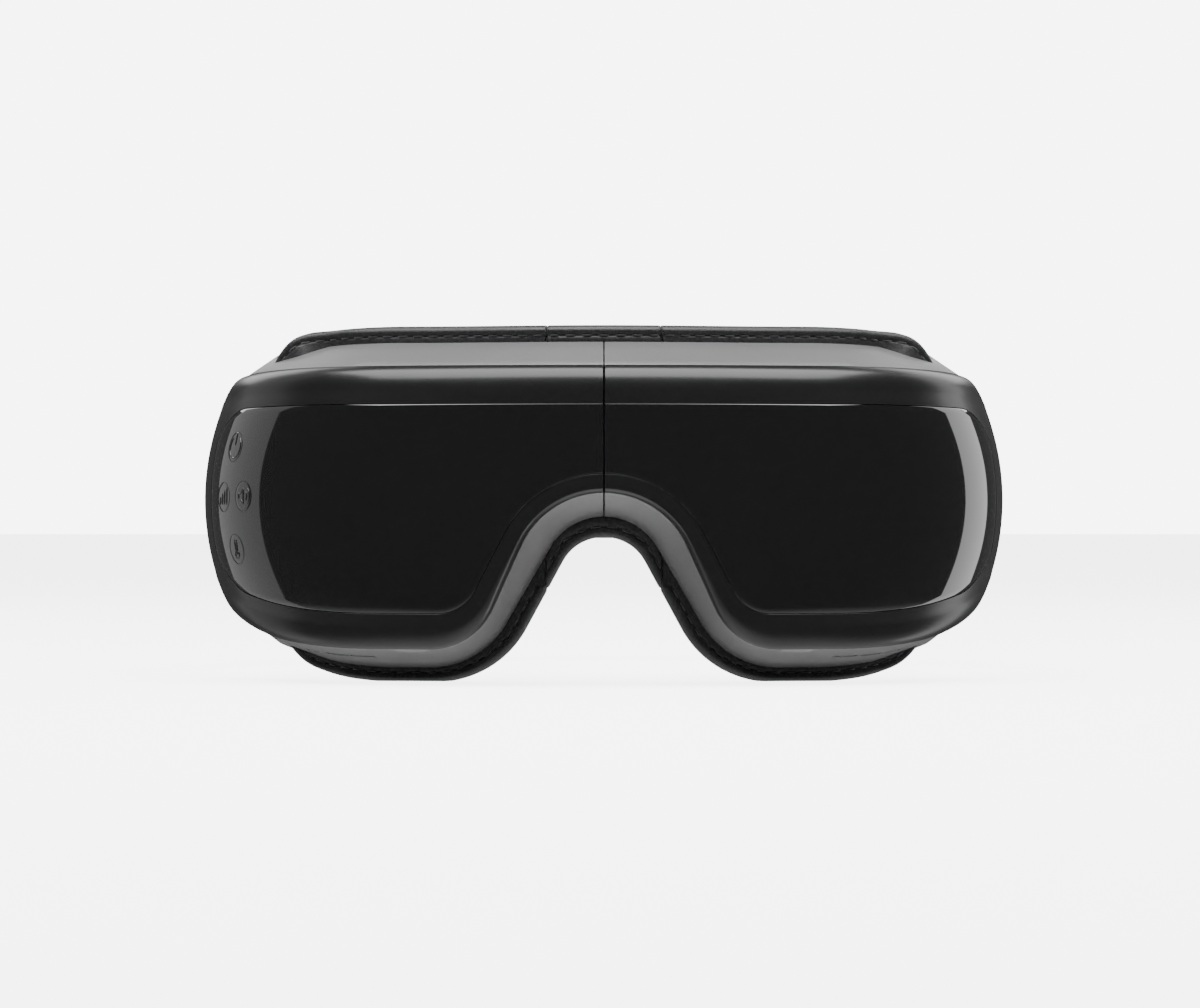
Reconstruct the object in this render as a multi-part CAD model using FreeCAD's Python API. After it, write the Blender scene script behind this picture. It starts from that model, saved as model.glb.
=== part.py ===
"""Eye massager mask: a folding, wrap-round mask in two halves, with the strap that holds it on.

Millimetres. +X is the wearer's left, +Y points back to the wearer's face, +Z is up.
The origin is the middle of the footprint, on the surface that the mask stands on.

Each half is drawn on the +X side in its own mask space (s, z, d): s runs along the front surface
from the centre seam to the temple, z is the height, and d is the depth behind the front surface.
The wearer's right half is the mirror image, with the keys, the boards and the pump in it.
"""

import FreeCAD, Part
import math
import os

V = FreeCAD.Vector

# ---------------------------------------------------------------- driving dimensions
# Front surface in plan: a wide brow arc, then a tighter temple arc.
HALF_WIDTH = 102.0        # seam plane to the widest point of the shell
BROW_ANGLE = 16.0         # degrees turned by the brow arc
TEMPLE_RADIUS = 63.0
TEMPLE_ANGLE = 84.0       # degrees turned where the temple ends
SEAM_GAP = 0.3            # between the two halves at the fold

# Heights of the lines that run round the mask, above the standing surface.
GASKET_TOP = 88.6         # top of the leather ring, which is the top of the mask
LIP_HEIGHT = 4.1          # leather that stands above the frame
BAND_HEIGHT = 6.4         # frame, from its rear edge to the crisp edge
SHOULDER_HEIGHT = 5.9     # crisp edge to the crease round the front face
BRIM_TOP = GASKET_TOP - LIP_HEIGHT
EDGE_TOP = BRIM_TOP - BAND_HEIGHT
CREASE_TOP = EDGE_TOP - SHOULDER_HEIGHT
MID_HEIGHT = GASKET_TOP / 2 + 1.0   # where the crown of the front stands out furthest
# Low lines over the nose: peak, base, radius over the nose, radius at the foot, half-width.
BRIM_LINE = (41.0, 3.4, 15.2, 22.3, 43.4)      # rear edge of the side frame
EDGE_LINE = (46.9, 8.7, 22.1, 17.0, 42.5)      # crisp edge between front cover and side frame
CREASE_LINE = (48.1, 14.0, 23.3, 14.0, 40.5)   # crease round the front face
GASKET_LINE = (36.0, -0.3, 11.5, 26.0, 42.0)   # the base is then cut flat at height 0
CROWN_RADIUS = 62.0       # front surface in the vertical plane, at the temple
CROWN_RADIUS_BROW = 420.0  # the same, at the seam
SHOULDER_DEPTH = 4.2      # crease to crisp edge, into the depth
REAR_DEPTH = ((0.0, 26.0), (45.0, 30.0), (95.0, 24.5), (132.0, 17.0))   # (s, d) of the rigid back edge
END_ROUNDING = 11.0       # length along s over which the temple end rounds off
END_SHARE = 0.80          # share of the height that is left at the temple end

WALL = 2.2                # front cover and side frame
REAR_WALL = 2.0           # rear cover
FIT = 0.15                # clearance round a piece that drops into another
RUN = 0.3                 # clearance between soft or curved neighbours
BORE = 0.06               # radial clearance of a shaft, pin or key in its hole

# Visor
VISOR_SKIN = 1.2
VISOR_INSET = 3.6         # crease to the visor's edge
VISOR_GROOVE = 0.25
VISOR_GAP = 13.4          # visor's end to the temple end
VISOR_ROUNDING = 15.5
VISOR_SHARE = 0.66

# Gasket
GASKET_THICK = 9.0
GASKET_START = 16.8       # s where the padded half begins, beside the bridge
GASKET_GAP = 9.9          # padded ring's end to the temple end
GASKET_ROUNDING = 20.0
GASKET_SHARE = 0.55
BRIDGE_HALF = 13.3
BRIDGE_NEAR, BRIDGE_FAR = 31.5, 36.0

# Eye cushion and the carriage that it rides on
EYE_S, EYE_Z = 54.0, 50.0
EYE_HALF_W, EYE_HALF_H, EYE_CORNER = 22.0, 21.0, 12.0
TRAY_FLOOR = 18.0         # depth of the tray's floor
PLATE_DEPTH = 24.6
PLATE_THICK = 2.0
CUSHION_THICK = 7.4
CARRIAGE_TRAVEL = 5.0
MODULE_SIZE, MODULE_THICK = 30.0, 3.2
SINK_SIZE, SINK_BASE, FIN_HEIGHT, FIN_THICK, FIN_COUNT = 32.0, 2.0, 6.0, 1.0, 8
GUIDE_RADIUS, GUIDE_OFFSET = 1.0, 18.6
FAN_SIZE, FAN_DEPTH, FAN_THICK = 28.0, 5.0, 7.0
FAN_BORE, ROTOR_RADIUS, HUB_RADIUS, BLADES = 13.2, 12.8, 5.5, 7

# Keys on the wearer's right half: name, s, z
KEYS = (("power_key", 104.4, 58.5), ("mode_key", 108.6, 46.0), ("sound_key", 98.2, 46.2),
        ("temperature_key", 103.3, 33.0))
KEY_RADIUS = 3.7
KEY_FLANGE = 4.4
KEY_STEM_END = 6.1        # depth of the stem's tip with the key out
KEY_TRAVEL = 0.6
KEY_BOARD_S, KEY_BOARD_Z, KEY_BOARD_DEPTH = 103.5, 46.0, 8.6
KEY_BOARD_W, KEY_BOARD_H = 16.0, 37.0
BOARD_S, BOARD_Z, BOARD_DEPTH, BOARD_W, BOARD_H, BOARD_THICK = 82.5, 46.0, 6.0, 20.0, 36.0, 1.2

# Battery, speaker, motor, pump, valve, charging socket
BATTERY_S, BATTERY_Z, BATTERY_DEPTH = 98.0, 46.0, 6.5
BATTERY_W, BATTERY_H, BATTERY_THICK = 24.0, 36.0, 5.6
SPEAKER_S, SPEAKER_Z, SPEAKER_RADIUS, SPEAKER_THICK = 113.0, 56.5, 8.5, 4.0
MOTOR_S, MOTOR_Z, MOTOR_DEPTH, MOTOR_RADIUS = 100.0, 69.5, 13.5, 3.5
VALVE_S, VALVE_Z, VALVE_DEPTH, VALVE_RADIUS = 95.0, 22.0, 14.0, 3.5
VALVE_TRAVEL = 1.2
PUMP_S, PUMP_Z, PUMP_DEPTH = 14.0, 53.5, 12.0
PUMP_W, PUMP_H = 15.0, 20.0
SOCKET_S, SOCKET_DEPTH = 110.0, 15.2
VENTS = (68.0, 78.0, 88.0)

# Fold hinge
HINGE_Y = 28.6            # axis behind the front of the mask at the seam
HINGE_LOW, HINGE_HIGH = 50.0, 74.0
KNUCKLES = 5
KNUCKLE_RADIUS, PIN_RADIUS = 2.2, 1.0
LINK_X, TUBE_Z, RIBBON_Z = 5.5, 78.2, 46.9   # tube and ribbon that cross the fold

# Strap
STRAP_Z, STRAP_WIDTH = 49.6, 30.0
ANCHOR_DEPTH, ANCHOR_THICK, ANCHOR_REACH = 12.2, 2.6, 9.5
STRAP_PLY = 1.2
STRAP_THICK = 1.6
STITCHED_END = 38.0       # end of the straight doubled part, behind the temple end
SLIDER_AT, SLIDER_LENGTH, SLIDER_THICK = 15.5, 9.0, 5.0

# ---------------------------------------------------------------- shape of the front
brow_turn = math.radians(BROW_ANGLE)
brow_radius = (HALF_WIDTH - TEMPLE_RADIUS * (1 - math.sin(brow_turn))) / math.sin(brow_turn)
brow_length = brow_radius * brow_turn
brow_depth = brow_radius * (1 - math.cos(brow_turn))
half_length = brow_length + TEMPLE_RADIUS * math.radians(TEMPLE_ANGLE - BROW_ANGLE)
visor_end = half_length - VISOR_GAP
gasket_end = half_length - GASKET_GAP


def turn_at(s):
    """Angle in radians that the front surface has turned through at s."""
    if s <= brow_length:
        return s / brow_radius
    return brow_turn + (s - brow_length) / TEMPLE_RADIUS


def spot(s, z, d=0.0):
    """Mask space to row space, before the mask is shifted to its origin."""
    a = turn_at(s)
    if s <= brow_length:
        x, y = brow_radius * math.sin(a), brow_radius * (1 - math.cos(a))
    else:
        x = HALF_WIDTH - TEMPLE_RADIUS * (1 - math.sin(a))
        y = brow_depth + TEMPLE_RADIUS * (math.cos(brow_turn) - math.cos(a))
    return V(x - d * math.sin(a), y + d * math.cos(a), z)


def ease(t):
    """0 to 1 with a level start and finish."""
    t = min(1.0, max(0.0, t))
    return t * t * (3 - 2 * t)


def through(knots, s):
    """A smooth value through (s, value) knots."""
    for (s0, v0), (s1, v1) in zip(knots, knots[1:]):
        if s <= s1:
            return v0 + (v1 - v0) * ease((s - s0) / (s1 - s0))
    return knots[-1][1]


def arch(x, low_line, grow):
    """Height of a low line at x: an arc over the nose, a straight leg, then an arc into the base line."""
    peak, base, crown, foot, width = low_line
    peak, base, crown, foot = peak + grow, base + grow, crown + grow, foot - grow
    lift = (peak - crown) - (base + foot)
    slope = math.atan2(lift, width) + math.asin((crown + foot) / math.hypot(width, lift))
    if x >= width:
        return base
    if x <= crown * math.sin(slope):
        return peak - crown + math.sqrt(crown ** 2 - x ** 2)
    if x >= width - foot * math.sin(slope):
        return base + foot - math.sqrt(foot ** 2 - (width - x) ** 2)
    return peak - crown + crown * math.cos(slope) - (x - crown * math.sin(slope)) * math.tan(slope)


def share(s, end, rounding, left):
    """How much of the half-height is left at s, where an end rounds off."""
    start = end - rounding
    if s <= start:
        return 1.0
    reach = rounding / math.sqrt(1 - left ** 2)
    return math.sqrt(max(0.0, 1 - ((s - start) / reach) ** 2))


def rounded(z, s):
    return MID_HEIGHT + (z - MID_HEIGHT) * share(s, half_length, END_ROUNDING, END_SHARE)


def rise(s, amount):
    """Climb of a line towards the temple."""
    if s <= 60.0:
        return 0.0
    return amount * ((s - 60.0) / (half_length - 60.0)) ** 2


def rear_depth(s):
    return through(REAR_DEPTH, s)


def front_depth(s, z):
    """Depth of the crowned front surface behind its mid-height line."""
    t = ease(s / half_length)
    curve = (1 - t) / CROWN_RADIUS_BROW + t / CROWN_RADIUS
    return 0.5 * curve * (z - MID_HEIGHT) ** 2


def edge_depth(s):
    return front_depth(s, CREASE_TOP) + SHOULDER_DEPTH


def brim_top(s):
    return rounded(BRIM_TOP - rise(s, 3.0), s)


def edge_top(s):
    return rounded(EDGE_TOP - rise(s, 2.0), s)


def crease_top(s):
    return rounded(CREASE_TOP - rise(s, 1.5), s)


def brim_low(s, grow=0.0):
    return rounded(arch(spot(s, 0, rear_depth(s)).x, BRIM_LINE, grow) + rise(s, 7.5), s)


def edge_low(s, grow=0.0):
    return rounded(arch(spot(s, 0, edge_depth(s)).x, EDGE_LINE, grow) + rise(s, 9.0), s)


def crease_low(s, grow=0.0):
    return rounded(arch(spot(s, 0, 2.0).x, CREASE_LINE, grow) + rise(s, 12.0), s)


# ---------------------------------------------------------------- tools
def arc3(a, b, c):
    return Part.Arc(a, b, c).toShape()


def line(a, b):
    return Part.LineSegment(a, b).toShape()


def stations(start, end, rounding):
    """Places along s for the sections: close together over the nose and where the end rounds off."""
    marks = [4, 8, 12, 16, 20, 24, 28, 32, 37, 42, 48, 56, 66, 77, 88, 98, 108, 116, 126, 136, 146]
    marks = [m for m in marks if start + 1.5 < m < end - rounding - 2]
    return [start] + marks + [end - rounding * f for f in (1.0, 0.7, 0.45, 0.22)] + [end]


def loft(section, start, end, rounding=END_ROUNDING):
    return Part.makeLoft([section(s) for s in stations(start, end, rounding)], True, False)


def front_arc(s, low, high, extra):
    """The crowned front line of a section from one height to another."""
    mid = (low + high) / 2
    return arc3(spot(s, low, front_depth(s, low) + extra), spot(s, mid, front_depth(s, mid) + extra),
                spot(s, high, front_depth(s, high) + extra))


def hull_section(s, inset, back):
    """The rigid envelope at s: frame, crisp edge, rounded shoulder and crowned front, thinned by inset."""
    top = [brim_top(s) - inset, edge_top(s) - inset, crease_top(s) - inset]
    low = [brim_low(s, inset), edge_low(s, inset), crease_low(s, inset)]
    shoulder = edge_depth(s) + inset * 0.6
    front_low, front_high = front_depth(s, low[2]) + inset, front_depth(s, top[2]) + inset
    bulge = 0.18
    mid_top = spot(s, (top[1] + top[2]) / 2 + bulge * (top[1] - top[2]),
                   (shoulder + front_high) / 2 - bulge * (shoulder - front_high))
    mid_low = spot(s, (low[1] + low[2]) / 2 - bulge * (low[2] - low[1]),
                   (shoulder + front_low) / 2 - bulge * (shoulder - front_low))
    a, b = spot(s, low[0], rear_depth(s) + back), spot(s, low[1], shoulder)
    c, d = spot(s, low[2], front_low), spot(s, top[2], front_high)
    e, f = spot(s, top[1], shoulder), spot(s, top[0], rear_depth(s) + back)
    return Part.Wire([line(a, b), arc3(b, mid_low, c), front_arc(s, low[2], top[2], inset),
                      arc3(d, mid_top, e), line(e, f), line(f, a)])


def hull(start, end, inset=0.0, back=0.0):
    return loft(lambda s: hull_section(s, inset, back), start, end)


def slab(near, far):
    """Everything between two depths, each a function of s."""
    def section(s):
        a, b = spot(s, -30, far(s)), spot(s, -30, near(s))
        c, d = spot(s, 130, near(s)), spot(s, 130, far(s))
        return Part.Wire([line(a, b), line(b, c), line(c, d), line(d, a)])
    return loft(section, -6.0, half_length + 3)


front_of_plate = slab(lambda s: -30.0, lambda s: rear_depth(s) - REAR_WALL)
behind = slab(rear_depth, lambda s: rear_depth(s) + 30)


def at(s, z, d, shape):
    """Move a shape drawn with x along the front, y into the depth and z up to its place."""
    place = FreeCAD.Placement(spot(s, z, d), FreeCAD.Rotation(V(0, 0, 1), math.degrees(turn_at(s))))
    return shape.transformed(place.toMatrix())


def block(x0, x1, y0, y1, z0, z1):
    return Part.makeBox(x1 - x0, y1 - y0, z1 - z0, V(x0, y0, z0))


def rod(radius, start, end):
    """A round rod from one point to another."""
    return Part.makeCylinder(radius, (end - start).Length, start, end - start)


def rounded_prism(half_w, half_h, corner, near, far):
    """A rounded rectangle in the x-z plane, pushed from one depth to another."""
    x, z, r = half_w, half_h, corner
    k = r * (1 - math.sqrt(0.5))
    edges = []
    for sx, sz in ((1, 1), (-1, 1), (-1, -1), (1, -1)):
        p, q = V(sx * x, near, sz * (z - r)), V(sx * (x - r), near, sz * z)
        m = V(sx * (x - k), near, sz * (z - k))
        if sx * sz < 0:
            p, q = q, p
        edges.append((p, m, q))
    wires = []
    for i, (p, m, q) in enumerate(edges):
        wires.append(arc3(p, m, q))
        wires.append(line(q, edges[(i + 1) % 4][0]))
    return Part.Face(Part.Wire(wires)).extrude(V(0, far - near, 0))


def to_right(shape):
    return shape.mirror(V(0, 0, 0), V(1, 0, 0))


def fused(shapes):
    return shapes[0].multiFuse(shapes[1:]).removeSplitter()


# ---------------------------------------------------------------- case
def visor_section(s, grow, near, far):
    """A strip of the front face between two depths, its outline grown by a little."""
    kept = share(s, visor_end, VISOR_ROUNDING, VISOR_SHARE)
    top = MID_HEIGHT + (crease_top(s) - VISOR_INSET - MID_HEIGHT) * kept + grow
    low = MID_HEIGHT + (crease_low(s, VISOR_INSET) - MID_HEIGHT) * kept - grow
    a, d = spot(s, low, front_depth(s, low) + near), spot(s, top, front_depth(s, top) + near)
    e, h = spot(s, top, front_depth(s, top) + far), spot(s, low, front_depth(s, low) + far)
    mid = (low + top) / 2
    back = arc3(e, spot(s, mid, front_depth(s, mid) + far), h)
    return Part.Wire([front_arc(s, low, top, near), line(d, e), back, line(h, a)])


def key_holes(radius):
    return [at(s, z, 0, rod(radius, V(0, -3, 0), V(0, 5, 0))) for _, s, z in KEYS]


def visor(with_keys):
    """Gloss panel let into the front cover."""
    panel = loft(lambda s: visor_section(s, 0.0, 0.0, VISOR_SKIN), SEAM_GAP / 2, visor_end, VISOR_ROUNDING)
    return panel.cut(key_holes(KEY_RADIUS + BORE)) if with_keys else panel


def post(s, z, near, far, x, up, radius=1.5):
    return at(s, z, 0, rod(radius, V(x, near, up), V(x, far, up)))


def front_cover(shell, with_keys):
    """Rounded gloss shell, with the pocket for the visor and the posts that hold the boards or the cell."""
    near_part = shell.common(slab(lambda s: -30.0, edge_depth))
    pocket = loft(lambda s: visor_section(s, VISOR_GROOVE, -3.0, VISOR_SKIN + 0.05),
                  SEAM_GAP / 2 - 0.5, visor_end + VISOR_GROOVE, VISOR_ROUNDING)
    extras = []
    if with_keys:
        for i, k in ((-1, -1), (-1, 1), (1, -1), (1, 1)):
            x, up = i * (BOARD_W / 2 - 2.5), k * (BOARD_H / 2 - 2.5)
            extras.append(post(BOARD_S, BOARD_Z, 1.8, BOARD_DEPTH, x, up))
            x, up = i * (KEY_BOARD_W / 2 - 1.4), k * (KEY_BOARD_H / 2 - 1.5)
            extras.append(post(KEY_BOARD_S, KEY_BOARD_Z, 2.0, KEY_BOARD_DEPTH, x, up, 1.2))
    else:
        up = BATTERY_H / 2 - 7
        for x in (-BATTERY_W / 3, BATTERY_W / 3):
            extras.append(at(BATTERY_S, BATTERY_Z, 0, block(x - 1, x + 1, 1.7, BATTERY_DEPTH, -up, up)))
    cover = near_part.fuse(extras).cut(pocket)
    return cover.cut(key_holes(KEY_RADIUS + BORE)) if with_keys else cover


SCREWS = ((22.0, 1), (86.0, 1), (49.0, -1), (100.0, -1))   # s, and top or bottom


def screw_place(s, side):
    z = brim_top(s) - WALL - 3.6 if side > 0 else brim_low(s) + WALL + 3.6
    return s, z


def side_frame(shell, with_socket):
    """Satin band behind the crisp edge: wall, screw posts, slot for the strap anchor, cooling slots."""
    frame = shell.cut(slab(lambda s: -30.0, edge_depth))
    inner_limit = hull(SEAM_GAP / 2, half_length, 1.0, 1.0).common(front_of_plate)
    for s, side in SCREWS:
        s, z = screw_place(s, side)
        far = rear_depth(s) - REAR_WALL
        boss = rod(2.4, V(0, far - 9, 0), V(0, far, 0))
        rib = block(-1.0, 1.0, far - 9, far - 0.5, min(0, side * 7), max(0, side * 7))
        boss = at(s, z, 0, boss.fuse(rib)).common(inner_limit)
        frame = frame.fuse(boss)
        frame = frame.cut(at(s, z, 0, rod(0.9, V(0, far - 8, 0), V(0, far + 1, 0))))
    near, far, half = ANCHOR_DEPTH - 0.1, ANCHOR_DEPTH + ANCHOR_THICK + 0.1, STRAP_WIDTH / 2 - 1.9
    cuts = [at(half_length, STRAP_Z, 0, block(-WALL - 1, 1, near, far, -half, half))]
    for s in VENTS:
        cuts.append(at(s, brim_low(s), 0, block(-3.5, 3.5, 15.2, 16.8, -8, 12)))
    if with_socket:
        cuts.append(at(SOCKET_S, 0, 0, socket_core(4.5 + 0.1, 1.6 + 0.1, 0, 30)))
    return frame.cut(cuts)


def rear_cover():
    """Plate that closes the back of a half: window for the eye cushion, cradles for motor and valve."""
    cavity = hull(SEAM_GAP / 2 + WALL + FIT, half_length - WALL - FIT, WALL + FIT, 4.0)
    plate = cavity.cut([front_of_plate, behind])
    window = at(EYE_S, EYE_Z, 0, rounded_prism(EYE_HALF_W + 1, EYE_HALF_H + 1, EYE_CORNER + 1, 5, 50))
    cradles = [at(MOTOR_S, MOTOR_Z, MOTOR_DEPTH, block(-7, 1, 1.0, 12, -2.5, 2.5)),
               at(VALVE_S, VALVE_Z, VALVE_DEPTH, block(-5, 5, 1.0, 12, -2.5, 2.5))]
    tray_room = at(EYE_S, EYE_Z, 0, rounded_prism(EYE_HALF_W + 4 + FIT, EYE_HALF_H + 4 + FIT, EYE_CORNER + 3,
                                                  TRAY_FLOOR - RUN, 60))
    plate = plate.cut(window).fuse([c.common(front_of_plate).cut(tray_room) for c in cradles])
    cuts = [at(MOTOR_S, MOTOR_Z, MOTOR_DEPTH, rod(MOTOR_RADIUS + 0.02, V(-12, 0, 0), V(12, 0, 0))),
            at(VALVE_S, VALVE_Z, VALVE_DEPTH, rod(VALVE_RADIUS + 0.02, V(-12, 0, 0), V(12, 0, 0)))]
    for s, side in SCREWS:
        s, z = screw_place(s, side)
        far = rear_depth(s)
        cuts.append(at(s, z, 0, rod(1.2, V(0, far - 4, 0), V(0, far + 2, 0))))
        cuts.append(at(s, z, 0, rod(2.2, V(0, far - 0.9, 0), V(0, far + 2, 0))))
    for x, up in ((0, 0), (4, 0), (-4, 0), (2, 3.5), (-2, 3.5), (2, -3.5), (-2, -3.5)):
        cuts.append(at(SPEAKER_S, SPEAKER_Z, 0, rod(0.8, V(x, 10, up), V(x, 30, up))))
    cuts.append(rod(1.5, V(LINK_X, 10, TUBE_Z), V(LINK_X, 40, TUBE_Z)))
    cuts.append(block(LINK_X - 0.6, LINK_X + 0.6, 10, 40, RIBBON_Z - 2.6, RIBBON_Z + 2.6))
    return plate.cut(cuts)


def case_screws():
    """Four screws that hold the rear cover to the side frame."""
    made = []
    for s, side in SCREWS:
        s, z = screw_place(s, side)
        far = rear_depth(s)
        head = rod(2.0, V(0, far - 0.9, 0), V(0, far - 0.3, 0))
        shank = rod(0.9, V(0, far - 7.5, 0), V(0, far - 0.9, 0))
        recess = rod(0.9, V(0, far - 0.7, 0), V(0, far + 1, 0))
        made.append(at(s, z, 0, head.fuse(shank).cut(recess)))
    return made


# ---------------------------------------------------------------- face pad
def gasket_low(s):
    leather = arch(spot(s, 0, rear_depth(s) + 5).x, GASKET_LINE, 0.0) + rise(s, 7.5)
    return leather + 3.4 * ease((s - gasket_end + 27) / 25)


def gasket_top(s):
    return GASKET_TOP - rise(s, 3.0) - 3.6 * ease((s - gasket_end + 16) / 16)


def gasket_section(s):
    """Padded ring at s, with its back corners rounded."""
    kept = share(s, gasket_end, GASKET_ROUNDING, GASKET_SHARE)
    low = MID_HEIGHT + (gasket_low(s) - MID_HEIGHT) * kept
    top = MID_HEIGHT + (gasket_top(s) - MID_HEIGHT) * kept
    near, far, r = rear_depth(s) - 2, rear_depth(s) + GASKET_THICK, 3.6
    k = r * (1 - math.sqrt(0.5))
    a, b, c = spot(s, low, near), spot(s, low, far - r), spot(s, low + r, far)
    d, e, f = spot(s, top - r, far), spot(s, top, far - r), spot(s, top, near)
    return Part.Wire([line(a, b), arc3(b, spot(s, low + k, far - k), c), line(c, d),
                      arc3(d, spot(s, top - k, far - k), e), line(e, f), line(f, a)])


def face_gasket():
    """Leather-covered foam ring that rests on the face."""
    ring = loft(gasket_section, GASKET_START, gasket_end, GASKET_ROUNDING)
    window = rounded_prism(EYE_HALF_W + 2.5, EYE_HALF_H + 2.5, EYE_CORNER + 2, 5, 60)
    below = block(-10, 200, -50, 150, -20, 0)
    return ring.common(behind).cut([at(EYE_S, EYE_Z, 0, window), below])


def gasket_bridge():
    """Soft strip that joins the two padded halves across the fold."""
    steps = [-BRIDGE_HALF + 2 * BRIDGE_HALF * i / 12 for i in range(13)]
    low = [V(x, BRIDGE_NEAR, arch(abs(x), GASKET_LINE, 0.0)) for x in steps]
    curve = Part.BSplineCurve()
    curve.interpolate(low)
    a, b = V(BRIDGE_HALF, BRIDGE_NEAR, GASKET_TOP), V(-BRIDGE_HALF, BRIDGE_NEAR, GASKET_TOP)
    outline = Part.Wire([curve.toShape(), line(low[-1], a), line(a, b), line(b, low[0])])
    return Part.Face(outline).extrude(V(0, BRIDGE_FAR - BRIDGE_NEAR, 0))


# ---------------------------------------------------------------- eye carriage
def airbag_tray():
    """Tray behind the eye window: holds the airbag, guides the plate, carries the fan."""
    outer = rounded_prism(EYE_HALF_W + 4, EYE_HALF_H + 4, EYE_CORNER + 3, TRAY_FLOOR, 45)
    inner = rounded_prism(EYE_HALF_W + 1.5, EYE_HALF_H + 1.5, EYE_CORNER + 1, TRAY_FLOOR + 2, 50)
    hole = rounded_prism(SINK_SIZE / 2 + 1, SINK_SIZE / 2 + 1, 1.5, TRAY_FLOOR - 2, 30)
    shape = outer.cut(inner).cut(hole)
    parts = [rod(GUIDE_RADIUS, V(0, TRAY_FLOOR + 1, z), V(0, 31, z)) for z in (-GUIDE_OFFSET, GUIDE_OFFSET)]
    foot = SINK_SIZE / 2 + 2.9
    parts += [rod(1.6, V(x, FAN_DEPTH + FAN_THICK, 0), V(x, TRAY_FLOOR + 1, 0)) for x in (-foot, foot)]
    return at(EYE_S, EYE_Z, 0, shape.fuse(parts)).common(front_of_plate)


def airbag():
    """Air cushion under the plate."""
    ring = rounded_prism(EYE_HALF_W - 0.6, EYE_HALF_H - 0.6, EYE_CORNER, TRAY_FLOOR + 2.05, PLATE_DEPTH - RUN)
    hole = rounded_prism(SINK_SIZE / 2 + 0.7, SINK_SIZE / 2 + 0.7, 1.2, TRAY_FLOOR, 30)
    pins = [rod(GUIDE_RADIUS + RUN, V(0, TRAY_FLOOR, z), V(0, 30, z)) for z in (-GUIDE_OFFSET, GUIDE_OFFSET)]
    return at(EYE_S, EYE_Z, 0, ring.cut(hole).cut(pins))


NUBS = ((-11, 9), (11, 9), (-11, -9), (11, -9), (0, 0))


def massage_plate():
    """Metal plate that warms or cools, with five low studs."""
    plate = rounded_prism(EYE_HALF_W - 0.4, EYE_HALF_H - 0.4, EYE_CORNER - 0.4, PLATE_DEPTH,
                          PLATE_DEPTH + PLATE_THICK)
    far = PLATE_DEPTH + PLATE_THICK
    studs = [rod(2.0, V(x, far - 0.5, z), V(x, far + 1.2, z)) for x, z in NUBS]
    pins = [rod(GUIDE_RADIUS + BORE, V(0, 20, z), V(0, 40, z)) for z in (-GUIDE_OFFSET, GUIDE_OFFSET)]
    return at(EYE_S, EYE_Z, 0, plate.fuse(studs).cut(pins))


def eye_cushion():
    """Soft pad over the plate."""
    near = PLATE_DEPTH + PLATE_THICK
    far = near + CUSHION_THICK
    base = rounded_prism(EYE_HALF_W, EYE_HALF_H, EYE_CORNER, near, far - 2.4)
    crown = rounded_prism(EYE_HALF_W - 2.4, EYE_HALF_H - 2.4, EYE_CORNER - 2.4, far - 2.4, far)
    pockets = [rod(2.1, V(x, near - 1, z), V(x, near + 1.3, z)) for x, z in NUBS]
    pockets += [rod(1.5, V(0, near - 1, z), V(0, near + 5.2, z)) for z in (-GUIDE_OFFSET, GUIDE_OFFSET)]
    return at(EYE_S, EYE_Z, 0, base.fuse(crown).cut(pockets))


def thermo_module():
    """Thermoelectric tile that warms or cools the plate."""
    half = MODULE_SIZE / 2
    return at(EYE_S, EYE_Z, 0, block(-half, half, PLATE_DEPTH - MODULE_THICK, PLATE_DEPTH, -half, half))


def heat_sink():
    """Finned sink on the back of the tile."""
    half = SINK_SIZE / 2
    far = PLATE_DEPTH - MODULE_THICK
    parts = [block(-half, half, far - SINK_BASE, far, -half, half)]
    pitch = (SINK_SIZE - FIN_THICK) / (FIN_COUNT - 1)
    for i in range(FIN_COUNT):
        x = -half + pitch * i
        parts.append(block(x, x + FIN_THICK, far - SINK_BASE - FIN_HEIGHT, far - SINK_BASE, -half, half))
    return at(EYE_S, EYE_Z, 0, fused(parts))


def fan_frame():
    """Square fan housing with three spokes, a shaft and two ears."""
    half, near, far = FAN_SIZE / 2, FAN_DEPTH, FAN_DEPTH + FAN_THICK
    frame = block(-half, half, near, far, -half, half).cut(rod(FAN_BORE, V(0, near - 1, 0), V(0, far + 1, 0)))
    parts = [rod(5.0, V(0, near, 0), V(0, near + 1, 0)), rod(1.0, V(0, near, 0), V(0, far - 0.6, 0))]
    for k in range(3):
        spoke = block(-0.9, 0.9, near, near + 1, 0, FAN_BORE + 0.4)
        spoke.rotate(V(0, 0, 0), V(0, 1, 0), 120 * k + 45)
        parts.append(spoke)
    ear = SINK_SIZE / 2 + 4.6
    for x0, x1 in ((-ear, -half + 0.5), (half - 0.5, ear)):
        parts.append(block(x0, x1, far - 1.5, far, -3, 3))
    return at(EYE_S, EYE_Z, 0, frame.fuse(parts))


def fan_rotor():
    """Hub and seven pitched blades."""
    near, far = FAN_DEPTH + 1.4, FAN_DEPTH + FAN_THICK - 0.4
    parts = [rod(HUB_RADIUS, V(0, near, 0), V(0, far, 0))]
    for k in range(BLADES):
        blade = block(-0.45, 0.45, -2.6, 2.6, HUB_RADIUS - 0.6, ROTOR_RADIUS - 0.2)
        blade.rotate(V(0, 0, 0), V(0, 0, 1), 38)
        blade.translate(V(0, (near + far) / 2, 0))
        blade.rotate(V(0, 0, 0), V(0, 1, 0), 360.0 * k / BLADES)
        parts.append(blade)
    return at(EYE_S, EYE_Z, 0, fused(parts).cut(rod(1.0 + BORE, V(0, near - 1, 0), V(0, far + 1, 0))))


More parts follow.
